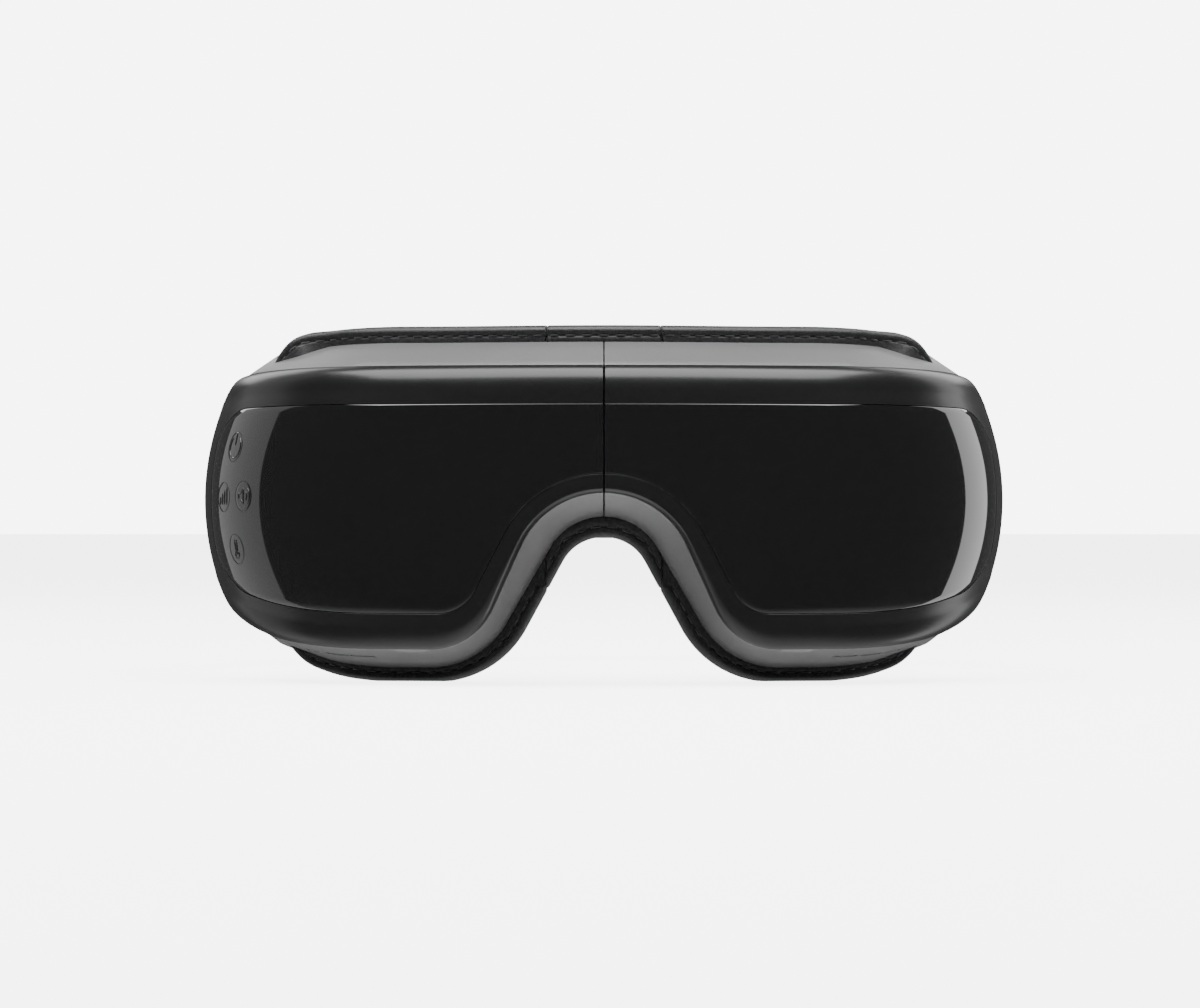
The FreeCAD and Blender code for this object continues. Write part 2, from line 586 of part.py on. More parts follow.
# ---------------------------------------------------------------- keys and boards
def key(s, z, envelope):
    """One key: a cap flush with the visor, a flange behind the cover and a stem to its switch."""
    local = front_depth(s, z)
    cap = at(s, z, 0, rod(KEY_RADIUS, V(0, -3, 0), V(0, local + 3.7, 0))).common(envelope)
    flange = at(s, z, 0, rod(KEY_FLANGE, V(0, local + 3.7, 0), V(0, local + 4.5, 0)))
    stem = at(s, z, 0, rod(1.4, V(0, local + 4, 0), V(0, KEY_STEM_END, 0)))
    return cap.fuse([flange, stem])


def key_board():
    half_w, half_h = KEY_BOARD_W / 2, KEY_BOARD_H / 2
    return at(KEY_BOARD_S, KEY_BOARD_Z, KEY_BOARD_DEPTH, block(-half_w, half_w, 0, 1.0, -half_h, half_h))


def key_switches():
    """Four dome switches on the key board."""
    made = []
    for _, s, z in KEYS:
        x = (s - KEY_BOARD_S) * (1 - KEY_BOARD_DEPTH / TEMPLE_RADIUS)
        base = block(x - 2.6, x + 2.6, -1.0, 0, z - KEY_BOARD_Z - 2.6, z - KEY_BOARD_Z + 2.6)
        dome = rod(1.7, V(x, -1.6, z - KEY_BOARD_Z), V(x, -1.0, z - KEY_BOARD_Z))
        made.append(at(KEY_BOARD_S, KEY_BOARD_Z, KEY_BOARD_DEPTH, base.fuse(dome)))
    return made


def main_board():
    half_w, half_h = BOARD_W / 2, BOARD_H / 2
    return at(BOARD_S, BOARD_Z, BOARD_DEPTH, block(-half_w, half_w, 0, BOARD_THICK, -half_h, half_h))


def board_chips():
    """Controller, radio, charger chip, coil and connectors on the main board."""
    made = []
    for x, z, w, h, t in ((1.5, 5, 8, 8, 1.0), (4, -6, 6, 5, 1.2), (-2.5, -7, 5, 5, 0.9), (-1.5, 13.5, 6, 3, 2.2),
                          (5.5, 14, 4, 4, 1.8), (1, -14.5, 9, 3.4, 2.2)):
        chip = block(x - w / 2, x + w / 2, BOARD_THICK, BOARD_THICK + t, z - h / 2, z + h / 2)
        made.append(at(BOARD_S, BOARD_Z, BOARD_DEPTH, chip))
    return made


def battery():
    """Flat lithium cell in the wearer's left half."""
    half_w, half_h = BATTERY_W / 2, BATTERY_H / 2
    cell = block(-half_w, half_w, 0, BATTERY_THICK, -half_h, half_h)
    edges = [e for e in cell.Edges if abs(e.Vertexes[0].Point.y - e.Vertexes[1].Point.y) < 0.01
             and abs(e.Vertexes[0].Point.x - e.Vertexes[1].Point.x) < 0.01]
    return at(BATTERY_S, BATTERY_Z, BATTERY_DEPTH, cell.makeFillet(1.6, edges))


def speaker():
    """Small flat loudspeaker behind the grille of the rear cover."""
    far = rear_depth(SPEAKER_S) - REAR_WALL
    body = rod(SPEAKER_RADIUS, V(0, far - SPEAKER_THICK, 0), V(0, far + 2, 0))
    magnet = rod(4.5, V(0, far - SPEAKER_THICK - 1.6, 0), V(0, far - SPEAKER_THICK + 0.5, 0))
    return at(SPEAKER_S, SPEAKER_Z, 0, body.fuse(magnet)).common(front_of_plate)


def socket_core(half_w, half_t, low, high):
    """Oval column for the charging socket."""
    core = block(-half_w + half_t, half_w - half_t, SOCKET_DEPTH - half_t, SOCKET_DEPTH + half_t, low, high)
    ends = [rod(half_t, V(x, SOCKET_DEPTH, low), V(x, SOCKET_DEPTH, high)) for x in
            (-half_w + half_t, half_w - half_t)]
    return core.fuse(ends)


def charging_socket():
    """Charging socket that opens through the underside of the frame."""
    low = brim_low(SOCKET_S) + 3.0
    shell = socket_core(4.5, 1.6, low, low + 7.9).cut(socket_core(4.2, 1.3, low - 1, low + 6.5))
    tongue = block(-3.3, 3.3, SOCKET_DEPTH - 0.35, SOCKET_DEPTH + 0.35, low + 1, low + 7)
    base = block(-5.2, 5.2, SOCKET_DEPTH - 2.2, SOCKET_DEPTH + 2.2, low + 6.4, low + 7.9)
    return at(SOCKET_S, 0, 0, shell.fuse([tongue, base]))


# ---------------------------------------------------------------- motors, pump and valve
def vibration_motor():
    body = rod(MOTOR_RADIUS, V(-7, 0, 0), V(2, 0, 0))
    return at(MOTOR_S, MOTOR_Z, MOTOR_DEPTH, body.cut(rod(0.75 + BORE, V(-1, 0, 0), V(3, 0, 0))))


def motor_weight():
    """Off-centre weight on the motor's shaft."""
    half_disc = rod(3.0, V(3, 0, 0), V(7, 0, 0)).cut(block(2, 8, -4, 4, 0.9, 4))
    return at(MOTOR_S, MOTOR_Z, MOTOR_DEPTH, rod(0.75, V(-0.5, 0, 0), V(7, 0, 0)).fuse(half_disc))


def air_pump():
    """Diaphragm pump: motor can above, crank chamber below."""
    half = PUMP_W / 2
    far = rear_depth(PUMP_S) - REAR_WALL - PUMP_DEPTH
    base = block(-half, half, 0, far + 1, 0, 10)
    can = rod(6.2, V(0, 6.8, 9), V(0, 6.8, PUMP_H))
    chamber = rod(5.9, V(0, 6.8, 5.0), V(0, 6.8, 9.2))
    mouth = block(-4.5, 4.5, -1, 6.8, 5.0, 9.2)
    bore = rod(1.0 + BORE, V(0, 6.8, 2.0), V(0, 6.8, 12.0))
    shape = at(PUMP_S, PUMP_Z, PUMP_DEPTH, base.fuse(can).cut([chamber, mouth, bore]))
    return shape.common(front_of_plate)


def pump_crank():
    """Shaft, disc and crank pin of the pump."""
    shaft = rod(1.0, V(0, 6.8, 2.4), V(0, 6.8, 11.6))
    disc = rod(5.2, V(0, 6.8, 5.4), V(0, 6.8, 7.2))
    pin = rod(1.1, V(3.2, 6.8, 7.0), V(3.2, 6.8, 8.8))
    return at(PUMP_S, PUMP_Z, PUMP_DEPTH, shaft.fuse([disc, pin]))


def air_valve():
    """Solenoid valve that lets the air out."""
    body = rod(VALVE_RADIUS, V(-5, 0, 0), V(5, 0, 0))
    port = rod(1.2, V(-8, 0, 0), V(-5, 0, 0))
    return at(VALVE_S, VALVE_Z, VALVE_DEPTH, body.fuse(port).cut(rod(1.2 + BORE, V(-3, 0, 0), V(6, 0, 0))))


def valve_plunger():
    return at(VALVE_S, VALVE_Z, VALVE_DEPTH, rod(1.2, V(-1.6, 0, 0), V(6.8, 0, 0)))


# ---------------------------------------------------------------- fold hinge
def knuckle_spans(turning):
    """Heights of the knuckles of the fixed leaf, or of the turning one."""
    pitch = (HINGE_HIGH - HINGE_LOW) / KNUCKLES
    first = 1 if turning else 0
    return [(HINGE_LOW + pitch * k + 0.1, HINGE_LOW + pitch * (k + 1) - 0.1) for k in range(first, KNUCKLES, 2)]


def hinge_leaf(turning):
    """Leaf on the back of a rear cover, drawn on the +X side."""
    near = rear_depth(0)
    parts = [block(3.4, 12.5, near - 1, near + 1.8, HINGE_LOW, HINGE_HIGH)]
    for low, high in knuckle_spans(turning):
        parts.append(block(0.6, 3.6, near + 0.3, near + 1.2, low, high))
        parts.append(rod(KNUCKLE_RADIUS, V(0, HINGE_Y, low), V(0, HINGE_Y, high)))
    hole = PIN_RADIUS + (BORE if turning else 0.01)
    leaf = fused(parts).cut(rod(hole, V(0, HINGE_Y, 0), V(0, HINGE_Y, 100)))
    bores = [rod(0.9, V(8.5, near - 2, z), V(8.5, near + 3, z)) for z in (HINGE_LOW + 4, HINGE_HIGH - 4)]
    return leaf.cut(bores).common(behind)


def hinge_pin():
    head = rod(PIN_RADIUS + 0.7, V(0, HINGE_Y, HINGE_HIGH), V(0, HINGE_Y, HINGE_HIGH + 0.8))
    return rod(PIN_RADIUS, V(0, HINGE_Y, HINGE_LOW), V(0, HINGE_Y, HINGE_HIGH + 0.8)).fuse(head)


def hinge_screws():
    near = rear_depth(0)
    made = []
    for z in (HINGE_LOW + 4, HINGE_HIGH - 4):
        head = rod(1.6, V(8.5, near + 1.8, z), V(8.5, near + 2.5, z))
        shank = rod(0.88, V(8.5, near - 1, z), V(8.5, near + 1.8, z))
        made.append(head.fuse(shank).common(behind))
    return made


def link(z, section):
    """A flexible line that leaves one half, passes behind the seam and enters the other."""
    x, y0, y1, r = LINK_X, 22.0, 29.4, 2.0
    k = r * (1 - math.sqrt(0.5))
    path = Part.Wire([line(V(-x, y0, z), V(-x, y1 - r, z)), arc3(V(-x, y1 - r, z), V(-x + k, y1 - k, z),
                      V(-x + r, y1, z)), line(V(-x + r, y1, z), V(x - r, y1, z)),
                      arc3(V(x - r, y1, z), V(x - k, y1 - k, z), V(x, y1 - r, z)),
                      line(V(x, y1 - r, z), V(x, y0, z))])
    return path.makePipeShell([section(V(-x, y0, z))], True, True)


def tube_section(centre):
    return Part.Wire([Part.Circle(centre, V(0, 1, 0), 1.1).toShape()])


def ribbon_section(centre):
    w, t = 2.2, 0.2
    corners = [centre + V(t, 0, w), centre + V(-t, 0, w), centre + V(-t, 0, -w), centre + V(t, 0, -w)]
    return Part.Wire([line(corners[i], corners[(i + 1) % 4]) for i in range(4)])


# ---------------------------------------------------------------- strap
def strap_anchor():
    """Loop at the temple end that the strap is sewn round."""
    near, far, half = ANCHOR_DEPTH, ANCHOR_DEPTH + ANCHOR_THICK, STRAP_WIDTH / 2
    slot = block(3.5, 7.5, near - 1, far + 1, -half - 0.5, half + 0.5)
    loop = block(0.2, ANCHOR_REACH, near, far, -half - 3, half + 3).cut(slot)
    neck = block(-WALL - 0.2, 0.3, near, far, -half + 2, half - 2)
    heel = block(-WALL - 1.8, -WALL - 0.2, near - 1.4, far + 0.1, -half + 1.2, half - 1.2)
    return at(half_length, STRAP_Z, 0, loop.fuse([neck, heel]))


def strap():
    """Elastic webbing: a sewn loop at each end, a doubled straight part and the arc round the head."""
    bar_near, bar_far = ANCHOR_DEPTH - RUN, ANCHOR_DEPTH + ANCHOR_THICK + RUN
    mid = (bar_near + bar_far) / 2
    half = STRAP_WIDTH / 2
    loop = [V(6.0, bar_near - STRAP_PLY, -half), V(9.8, bar_near - STRAP_PLY, -half),
            V(14.0, mid - STRAP_PLY, -half), V(STITCHED_END, mid - STRAP_PLY, -half),
            V(STITCHED_END, mid + STRAP_PLY, -half), V(14.0, mid + STRAP_PLY, -half),
            V(9.8, bar_far + STRAP_PLY, -half), V(6.0, bar_far + STRAP_PLY, -half)]
    edges = [line(loop[i], loop[(i + 1) % 8]) for i in range(8)]
    end = Part.Face(Part.Wire(edges)).extrude(V(0, 0, STRAP_WIDTH))
    end = end.cut(block(7.2, 9.8, bar_near, bar_far, -half - 1, half + 1))
    end = at(half_length, STRAP_Z, 0, end)
    return fused([end, to_right(end), strap_arc()])


def strap_circle():
    """Centre and radius of the arc round the head: it leaves the doubled part without a corner."""
    mid = ANCHOR_DEPTH + ANCHOR_THICK / 2
    a = turn_at(half_length)
    start = spot(half_length, STRAP_Z, mid) + V(math.cos(a), math.sin(a), 0) * STITCHED_END
    radius = start.x / math.sin(a)
    return V(0, start.y + radius * math.cos(a), STRAP_Z), radius


def strap_arc():
    centre, radius = strap_circle()
    half = STRAP_WIDTH / 2
    base = centre - V(0, 0, half)
    start = 90.0 - (180.0 - TEMPLE_ANGLE)
    ring = Part.makeCylinder(radius + STRAP_THICK / 2, STRAP_WIDTH, base, V(0, 0, 1), 180.0 + 2 * (90 - TEMPLE_ANGLE))
    hole = Part.makeCylinder(radius - STRAP_THICK / 2, STRAP_WIDTH + 2, base - V(0, 0, 1))
    ring.rotate(centre, V(0, 0, 1), start)
    return ring.cut(hole)


def strap_slider():
    """Sleeve that runs on the doubled part of the strap."""
    mid = ANCHOR_DEPTH + ANCHOR_THICK / 2
    half, up = SLIDER_THICK / 2, STRAP_WIDTH / 2
    body = block(SLIDER_AT, SLIDER_AT + SLIDER_LENGTH, mid - half, mid + half, -up - 2.5, up + 2.5)
    channel = block(SLIDER_AT - 1, SLIDER_AT + SLIDER_LENGTH + 1, mid - STRAP_PLY - RUN, mid + STRAP_PLY + RUN,
                    -up - RUN, up + RUN)
    return at(half_length, STRAP_Z, 0, body.cut(channel))


# ---------------------------------------------------------------- build
def build():
    """Every piece by name, before the shift to the origin."""
    envelope = hull(SEAM_GAP / 2, half_length, 0.0, 1.0).cut(behind)
    inside = hull(SEAM_GAP / 2 + WALL, half_length - WALL, WALL, 4.0)
    shell = envelope.cut(inside)
    pieces = {}
    shared = {"rear_cover": rear_cover(), "case_screws": case_screws(), "face_gasket": face_gasket(),
              "airbag_tray": airbag_tray(), "airbag": airbag(), "massage_plate": massage_plate(),
              "eye_cushion": eye_cushion(), "thermo_module": thermo_module(), "heat_sink": heat_sink(),
              "fan_frame": fan_frame(), "fan_rotor": fan_rotor(), "speaker": speaker(),
              "vibration_motor": vibration_motor(), "motor_weight": motor_weight(),
              "hinge_screws": hinge_screws(), "strap_anchor": strap_anchor()}
    for name, shape in shared.items():
        shape = Part.makeCompound(shape) if isinstance(shape, list) else shape
        pieces[name + "_left"] = shape
        pieces[name + "_right"] = to_right(shape)
    pieces["front_cover_left"] = front_cover(shell, False)
    pieces["front_cover_right"] = to_right(front_cover(shell, True))
    pieces["visor_left"] = visor(False)
    pieces["visor_right"] = to_right(visor(True))
    pieces["side_frame_left"] = side_frame(shell, False)
    pieces["side_frame_right"] = to_right(side_frame(shell, True))
    pieces["gasket_bridge"] = gasket_bridge()
    for name, s, z in KEYS:
        pieces[name] = to_right(key(s, z, envelope))
    pieces["key_board"] = to_right(key_board())
    pieces["key_switches"] = to_right(Part.makeCompound(key_switches()))
    pieces["main_board"] = to_right(main_board())
    pieces["board_chips"] = to_right(Part.makeCompound(board_chips()))
    pieces["battery"] = battery()
    pieces["charging_socket"] = to_right(charging_socket())
    pieces["air_pump"] = to_right(air_pump())
    pieces["pump_crank"] = to_right(pump_crank())
    pieces["air_valve"] = to_right(air_valve())
    pieces["valve_plunger"] = to_right(valve_plunger())
    pieces["hinge_leaf_left"] = hinge_leaf(True)
    pieces["hinge_leaf_right"] = to_right(hinge_leaf(False))
    pieces["hinge_pin"] = hinge_pin()
    pieces["link_tube"] = link(TUBE_Z, tube_section)
    pieces["link_cable"] = link(RIBBON_Z, ribbon_section)
    pieces["strap"] = strap()
    pieces["strap_slider"] = to_right(strap_slider())
    return pieces


def origin_shift():
    """Puts the middle of the footprint on the origin: front face to the back of the strap."""
    centre, radius = strap_circle()
    return V(0, -(centre.y + radius + STRAP_THICK / 2) / 2, 0)


os.makedirs("parts", exist_ok=True)
for node, piece in build().items():
    piece.translate(origin_shift())
    piece.exportStep("parts/" + node + ".step")
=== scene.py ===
"""Eye massager mask: looks built round the CAD frame, in metres, in the frame's own coordinates.

The mask folds at its middle. Each half has a gloss front cover with a black visor let into it, a satin
frame behind the cover and a padded leather ring on the back. A strap joins the temple ends.
"""
import math

import bmesh
import bpy
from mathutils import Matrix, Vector


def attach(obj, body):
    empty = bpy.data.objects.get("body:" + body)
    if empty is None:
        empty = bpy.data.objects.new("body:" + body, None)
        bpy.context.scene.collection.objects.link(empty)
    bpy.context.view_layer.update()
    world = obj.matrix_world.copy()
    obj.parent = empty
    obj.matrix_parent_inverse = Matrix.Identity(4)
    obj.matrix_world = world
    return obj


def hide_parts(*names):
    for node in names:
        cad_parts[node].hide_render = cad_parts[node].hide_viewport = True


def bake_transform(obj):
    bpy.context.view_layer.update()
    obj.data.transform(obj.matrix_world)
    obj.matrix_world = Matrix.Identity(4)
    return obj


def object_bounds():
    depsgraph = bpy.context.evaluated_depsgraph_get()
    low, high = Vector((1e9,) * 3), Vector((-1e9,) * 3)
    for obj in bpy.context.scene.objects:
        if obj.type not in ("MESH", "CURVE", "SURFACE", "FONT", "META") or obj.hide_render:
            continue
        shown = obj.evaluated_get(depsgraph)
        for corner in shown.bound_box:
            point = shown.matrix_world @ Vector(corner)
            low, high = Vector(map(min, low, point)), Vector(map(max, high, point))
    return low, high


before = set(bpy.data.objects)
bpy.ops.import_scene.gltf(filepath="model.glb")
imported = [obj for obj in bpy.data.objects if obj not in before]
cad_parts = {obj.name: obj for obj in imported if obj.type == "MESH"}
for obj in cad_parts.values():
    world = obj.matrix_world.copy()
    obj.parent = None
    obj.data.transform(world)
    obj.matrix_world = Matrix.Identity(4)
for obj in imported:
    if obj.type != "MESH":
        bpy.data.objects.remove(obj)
cad_low, cad_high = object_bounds()

# ================================================================ front covers
# Each half has a moulded front cover in polished black plastic. It is crowned, wraps round to the temple
# and rolls over a shoulder to a crisp edge, where the satin frame begins. It closes its half at the seam.
MM = 0.001
FRONT = cad_low.y / MM          # the seam edge of the front face
HALF_WIDTH, TEMPLE_RADIUS = 102.0, 63.0
BROW_TURN, TEMPLE_TURN = math.radians(16.0), math.radians(84.0)
BROW_RADIUS = (HALF_WIDTH - TEMPLE_RADIUS * (1 - math.sin(BROW_TURN))) / math.sin(BROW_TURN)
BROW_LENGTH = BROW_RADIUS * BROW_TURN
BROW_DEPTH = BROW_RADIUS * (1 - math.cos(BROW_TURN))
LENGTH = BROW_LENGTH + TEMPLE_RADIUS * (TEMPLE_TURN - BROW_TURN)
SEAM = 0.15
MIDDLE, PAD_TOP, BRIM_TOP, EDGE_TOP, CREASE_TOP = 45.3, 88.6, 84.5, 78.1, 72.2
BRIM_ARCH = (41.0, 3.4, 15.2, 22.3, 43.4)      # peak, base, radius over the nose, radius at the foot, half-width
EDGE_ARCH = (46.9, 8.7, 22.1, 17.0, 42.5)
CREASE_ARCH = (48.1, 14.0, 23.3, 14.0, 40.5)
WALL = 2.2
HALVES = (("left", 1), ("right", -1))


def turn_at(s):
    """Angle that the front has turned through, s millimetres from the seam."""
    return s / BROW_RADIUS if s <= BROW_LENGTH else BROW_TURN + (s - BROW_LENGTH) / TEMPLE_RADIUS


def spot(s, z, d=0.0):
    """The point s along the front, z up and d behind the front."""
    a = turn_at(s)
    if s <= BROW_LENGTH:
        x, y = BROW_RADIUS * math.sin(a), BROW_RADIUS * (1 - math.cos(a))
    else:
        x = HALF_WIDTH - TEMPLE_RADIUS * (1 - math.sin(a))
        y = BROW_DEPTH + TEMPLE_RADIUS * (math.cos(BROW_TURN) - math.cos(a))
    return (x - d * math.sin(a), y + d * math.cos(a), z)


def ease(t):
    t = min(1.0, max(0.0, t))
    return t * t * (3 - 2 * t)


def mix(a, b, t):
    return a + (b - a) * t


def arch_height(x, line, grow=0.0):
    """Height of a low line at x: arc over the nose, straight leg, arc into the base line."""
    peak, base, crown, foot, width = line
    peak, base, crown, foot = peak + grow, base + grow, crown + grow, foot - grow
    lift = (peak - crown) - (base + foot)
    slope = math.atan2(lift, width) + math.asin((crown + foot) / math.hypot(width, lift))
    if x >= width:
        return base
    if x <= crown * math.sin(slope):
        return peak - crown + math.sqrt(crown ** 2 - x ** 2)
    if x >= width - foot * math.sin(slope):
        return base + foot - math.sqrt(foot ** 2 - (width - x) ** 2)
    return peak - crown + crown * math.cos(slope) - (x - crown * math.sin(slope)) * math.tan(slope)


def share_left(s, end, rounding, left):
    """Share of the height that is left where an end rounds off."""
    start = end - rounding
    if s <= start:
        return 1.0
    return math.sqrt(max(0.0, 1 - ((s - start) * math.sqrt(1 - left ** 2) / rounding) ** 2))


def drawn_in(z, s):
    return MIDDLE + (z - MIDDLE) * share_left(s, LENGTH, 11.0, 0.80)


def rise(s, amount):
    return 0.0 if s <= 60.0 else amount * ((s - 60.0) / (LENGTH - 60.0)) ** 2


def rear_depth(s):
    knots = ((0.0, 26.0), (45.0, 30.0), (95.0, 24.5), (132.0, 17.0))
    for (s0, v0), (s1, v1) in zip(knots, knots[1:]):
        if s <= s1:
            return v0 + (v1 - v0) * ease((s - s0) / (s1 - s0))
    return knots[-1][1]


def front_depth(s, z):
    t = ease(s / LENGTH)
    return 0.5 * ((1 - t) / 420.0 + t / 62.0) * (z - MIDDLE) ** 2


def edge_depth(s):
    return front_depth(s, CREASE_TOP) + 4.2


def brim_top(s):
    return drawn_in(BRIM_TOP - rise(s, 3.0), s)


def edge_top(s):
    return drawn_in(EDGE_TOP - rise(s, 2.0), s)


def crease_top(s):
    return drawn_in(CREASE_TOP - rise(s, 1.5), s)


def brim_low(s, grow=0.0):
    return drawn_in(arch_height(spot(s, 0, rear_depth(s))[0], BRIM_ARCH, grow) + rise(s, 7.5), s)


def edge_low(s, grow=0.0):
    return drawn_in(arch_height(spot(s, 0, edge_depth(s))[0], EDGE_ARCH, grow) + rise(s, 9.0), s)


def crease_low(s, grow=0.0):
    return drawn_in(arch_height(spot(s, 0, 2.0)[0], CREASE_ARCH, grow) + rise(s, 12.0), s)


def stations(start, end, step, near, far):
    """Places along s, each with the amount drawn in there, for ends rounded by near and far."""
    made = []
    for a in (90, 60, 30, 0):
        a = math.radians(a)
        made.append((start + near - near * math.sin(a), near - near * math.cos(a)))
    first, last = start + near, end - far
    count = max(2, round((last - first) / step))
    made += [(mix(first, last, k / count), 0.0) for k in range(1, count)]
    for a in (0, 20, 40, 60, 75, 90):
        a = math.radians(a)
        made.append((last + far * math.sin(a), far - far * math.cos(a)))
    return made


def new_piece(name, points, faces, finish, sharp=32.0):
    """A mesh from points in millimetres, cleaned, turned outwards and shaded."""
    mesh = bpy.data.meshes.new(name)
    mesh.from_pydata([(x * MM, (y + FRONT) * MM, z * MM) for x, y, z in points], [], faces)
    bm = bmesh.new()
    bm.from_mesh(mesh)
    bmesh.ops.remove_doubles(bm, verts=bm.verts, dist=4e-6)
    bmesh.ops.dissolve_degenerate(bm, edges=bm.edges, dist=1e-7)
    bmesh.ops.recalc_face_normals(bm, faces=bm.faces)
    bm.to_mesh(mesh)
    bm.free()
    mesh.shade_smooth()
    mesh.set_sharp_from_angle(angle=math.radians(sharp))
    mesh.materials.append(finish)
    made = bpy.data.objects.new(name, mesh)
    bpy.context.scene.collection.objects.link(made)
    return made


def mirrored(points, side):
    return [(x * side, y, z) for x, y, z in points]


def dish(outer, inner):
    """Points and faces of an open shell: an outer and an inner sheet of rows, capped and joined at the rim."""
    rows, columns = len(outer), len(outer[0])
    points = [p for row in outer + inner for p in row]
    faces, base = [], rows * columns
    for offset in (0, base):
        for i in range(rows - 1):
            for j in range(columns - 1):
                a = offset + i * columns + j
                faces.append((a, a + columns, a + columns + 1, a + 1))
        for i in (0, rows - 1):
            faces.append(tuple(offset + i * columns + j for j in range(columns)))
    for i in range(rows - 1):
        for j in (0, columns - 1):
            a = i * columns + j
            faces.append((a, a + columns, base + a + columns, base + a))
    for i in (0, rows - 1):
        a, b = i * columns, i * columns + columns - 1
        faces.append((a, b, base + b, base + a))
    return points, faces


VISOR_END, VISOR_INSET, VISOR_SKIN, GROOVE = LENGTH - 13.4, 3.6, 1.2, 0.16


def visor_low(s):
    kept = share_left(s, VISOR_END, 15.5, 0.66)
    return MIDDLE + (crease_low(s, VISOR_INSET) - MIDDLE) * kept


def visor_top(s):
    kept = share_left(s, VISOR_END, 15.5, 0.66)
    return MIDDLE + (crease_top(s) - VISOR_INSET - MIDDLE) * kept


def shoulder(edge, crease, edge_at, crease_at):
    """(z, d) points from the crisp edge over the rolled shoulder to the crease."""
    mid = ((edge + crease) / 2 + 0.18 * (edge - crease), (edge_at + crease_at) / 2 - 0.18 * (edge_at - crease_at))
    pull = (2 * mid[0] - (edge + crease) / 2, 2 * mid[1] - (edge_at + crease_at) / 2)
    made = []
    for t in (0.0, 0.06, 0.14, 0.24, 0.35, 0.47, 0.6, 0.73, 0.86, 0.96):
        made.append(((1 - t) ** 2 * edge + 2 * t * (1 - t) * pull[0] + t * t * crease,
                     (1 - t) ** 2 * edge_at + 2 * t * (1 - t) * pull[1] + t * t * crease_at))
    return made


def cover_line(s, drawn, recess):
    """One section of the cover from its lower crisp edge to its upper one, with the visor's recess."""
    e_low, c_low = edge_low(s, drawn), crease_low(s, drawn)
    e_top, c_top = edge_top(s) - drawn, crease_top(s) - drawn
    back = edge_depth(s) + 0.6 * drawn
    below = shoulder(e_low, c_low, back, front_depth(s, c_low) + drawn)
    above = shoulder(e_top, c_top, back, front_depth(s, c_top) + drawn)
    below[0:1] = [(e_low + 0.12, back), (e_low, back - 0.18)]
    above[0:1] = [(e_top - 0.12, back), (e_top, back - 0.18)]
    inner = min(s, VISOR_END)
    floor = recess if s <= VISOR_END + GROOVE + 1e-6 else 0.0
    low, top = visor_low(inner) - GROOVE, visor_top(inner) + GROOVE
    face = [(mix(c_low, low, f), 0.0) for f in (0.1, 0.4, 0.7)]
    face += [(low - 0.06, 0.0), (low, min(0.06, floor)), (low + 0.005, floor)]
    face += [(mix(low, top, f / 12), floor) for f in range(1, 12)]
    face += [(top - 0.005, floor), (top, min(0.06, floor)), (top + 0.06, 0.0)]
    face += [(mix(c_top, top, f), 0.0) for f in (0.7, 0.4, 0.1)]
    face = [(z, front_depth(s, z) + drawn + extra) for z, extra in face]
    return [spot(s, z, d) for z, d in below + face + above[::-1]]


def group(name, inputs, outputs):
    """A shader node group with named inputs and outputs, and the nodes at its ends."""
    made = bpy.data.node_groups.new(name, "ShaderNodeTree")
    for label, kind, value in inputs:
        socket = made.interface.new_socket(name=label, in_out="INPUT", socket_type=kind)
        socket.default_value = value
    for label, kind in outputs:
        made.interface.new_socket(name=label, in_out="OUTPUT", socket_type=kind)
    return made, made.nodes.new("NodeGroupInput"), made.nodes.new("NodeGroupOutput")


def node(tree, kind, values=None, **settings):
    made = tree.nodes.new(kind)
    for key, value in settings.items():
        setattr(made, key, value)
    for key, value in (values or {}).items():
        made.inputs[key].default_value = value
    return made


def handling_marks():
    """Fine swirl scratches, faint smears and settled dust of a polished surface that is handled."""
    tree, start, end = group("handling_marks", (("Base", "NodeSocketFloat", 0.08), ("Smear", "NodeSocketFloat", 0.05),
                                                ("Dust", "NodeSocketFloat", 0.02)),
                             (("Roughness", "NodeSocketFloat"), ("Dust Mask", "NodeSocketFloat"),
                              ("Height", "NodeSocketFloat")))
    place = node(tree, "ShaderNodeTexCoord")
    smears = node(tree, "ShaderNodeTexNoise", {"Scale": 38.0, "Detail": 4.0, "Roughness": 0.55, "Distortion": 1.4})
    hairs = node(tree, "ShaderNodeTexNoise", {"Scale": 900.0, "Detail": 2.0, "Distortion": 6.0})
    specks = node(tree, "ShaderNodeTexVoronoi", {"Scale": 700.0})
    soft = node(tree, "ShaderNodeMapRange", {"From Min": 0.42, "From Max": 0.75})
    spots = node(tree, "ShaderNodeMapRange", {"From Min": 0.10, "From Max": 0.04})
    scale = node(tree, "ShaderNodeMath", operation="MULTIPLY")
    total = node(tree, "ShaderNodeMath", operation="ADD")
    dust = node(tree, "ShaderNodeMath", operation="MULTIPLY")
    link = tree.links.new
    for texture in (smears, hairs, specks):
        link(place.outputs["Object"], texture.inputs["Vector"])
    link(smears.outputs["Fac"], soft.inputs["Value"])
    link(soft.outputs["Result"], scale.inputs[0])
    link(start.outputs["Smear"], scale.inputs[1])
    link(scale.outputs["Value"], total.inputs[0])
    link(start.outputs["Base"], total.inputs[1])
    link(specks.outputs["Distance"], spots.inputs["Value"])
    link(spots.outputs["Result"], dust.inputs[0])
    link(start.outputs["Dust"], dust.inputs[1])
    link(total.outputs["Value"], end.inputs["Roughness"])
    link(dust.outputs["Value"], end.inputs["Dust Mask"])
    link(hairs.outputs["Fac"], end.inputs["Height"])
    return tree


MARKS = handling_marks()


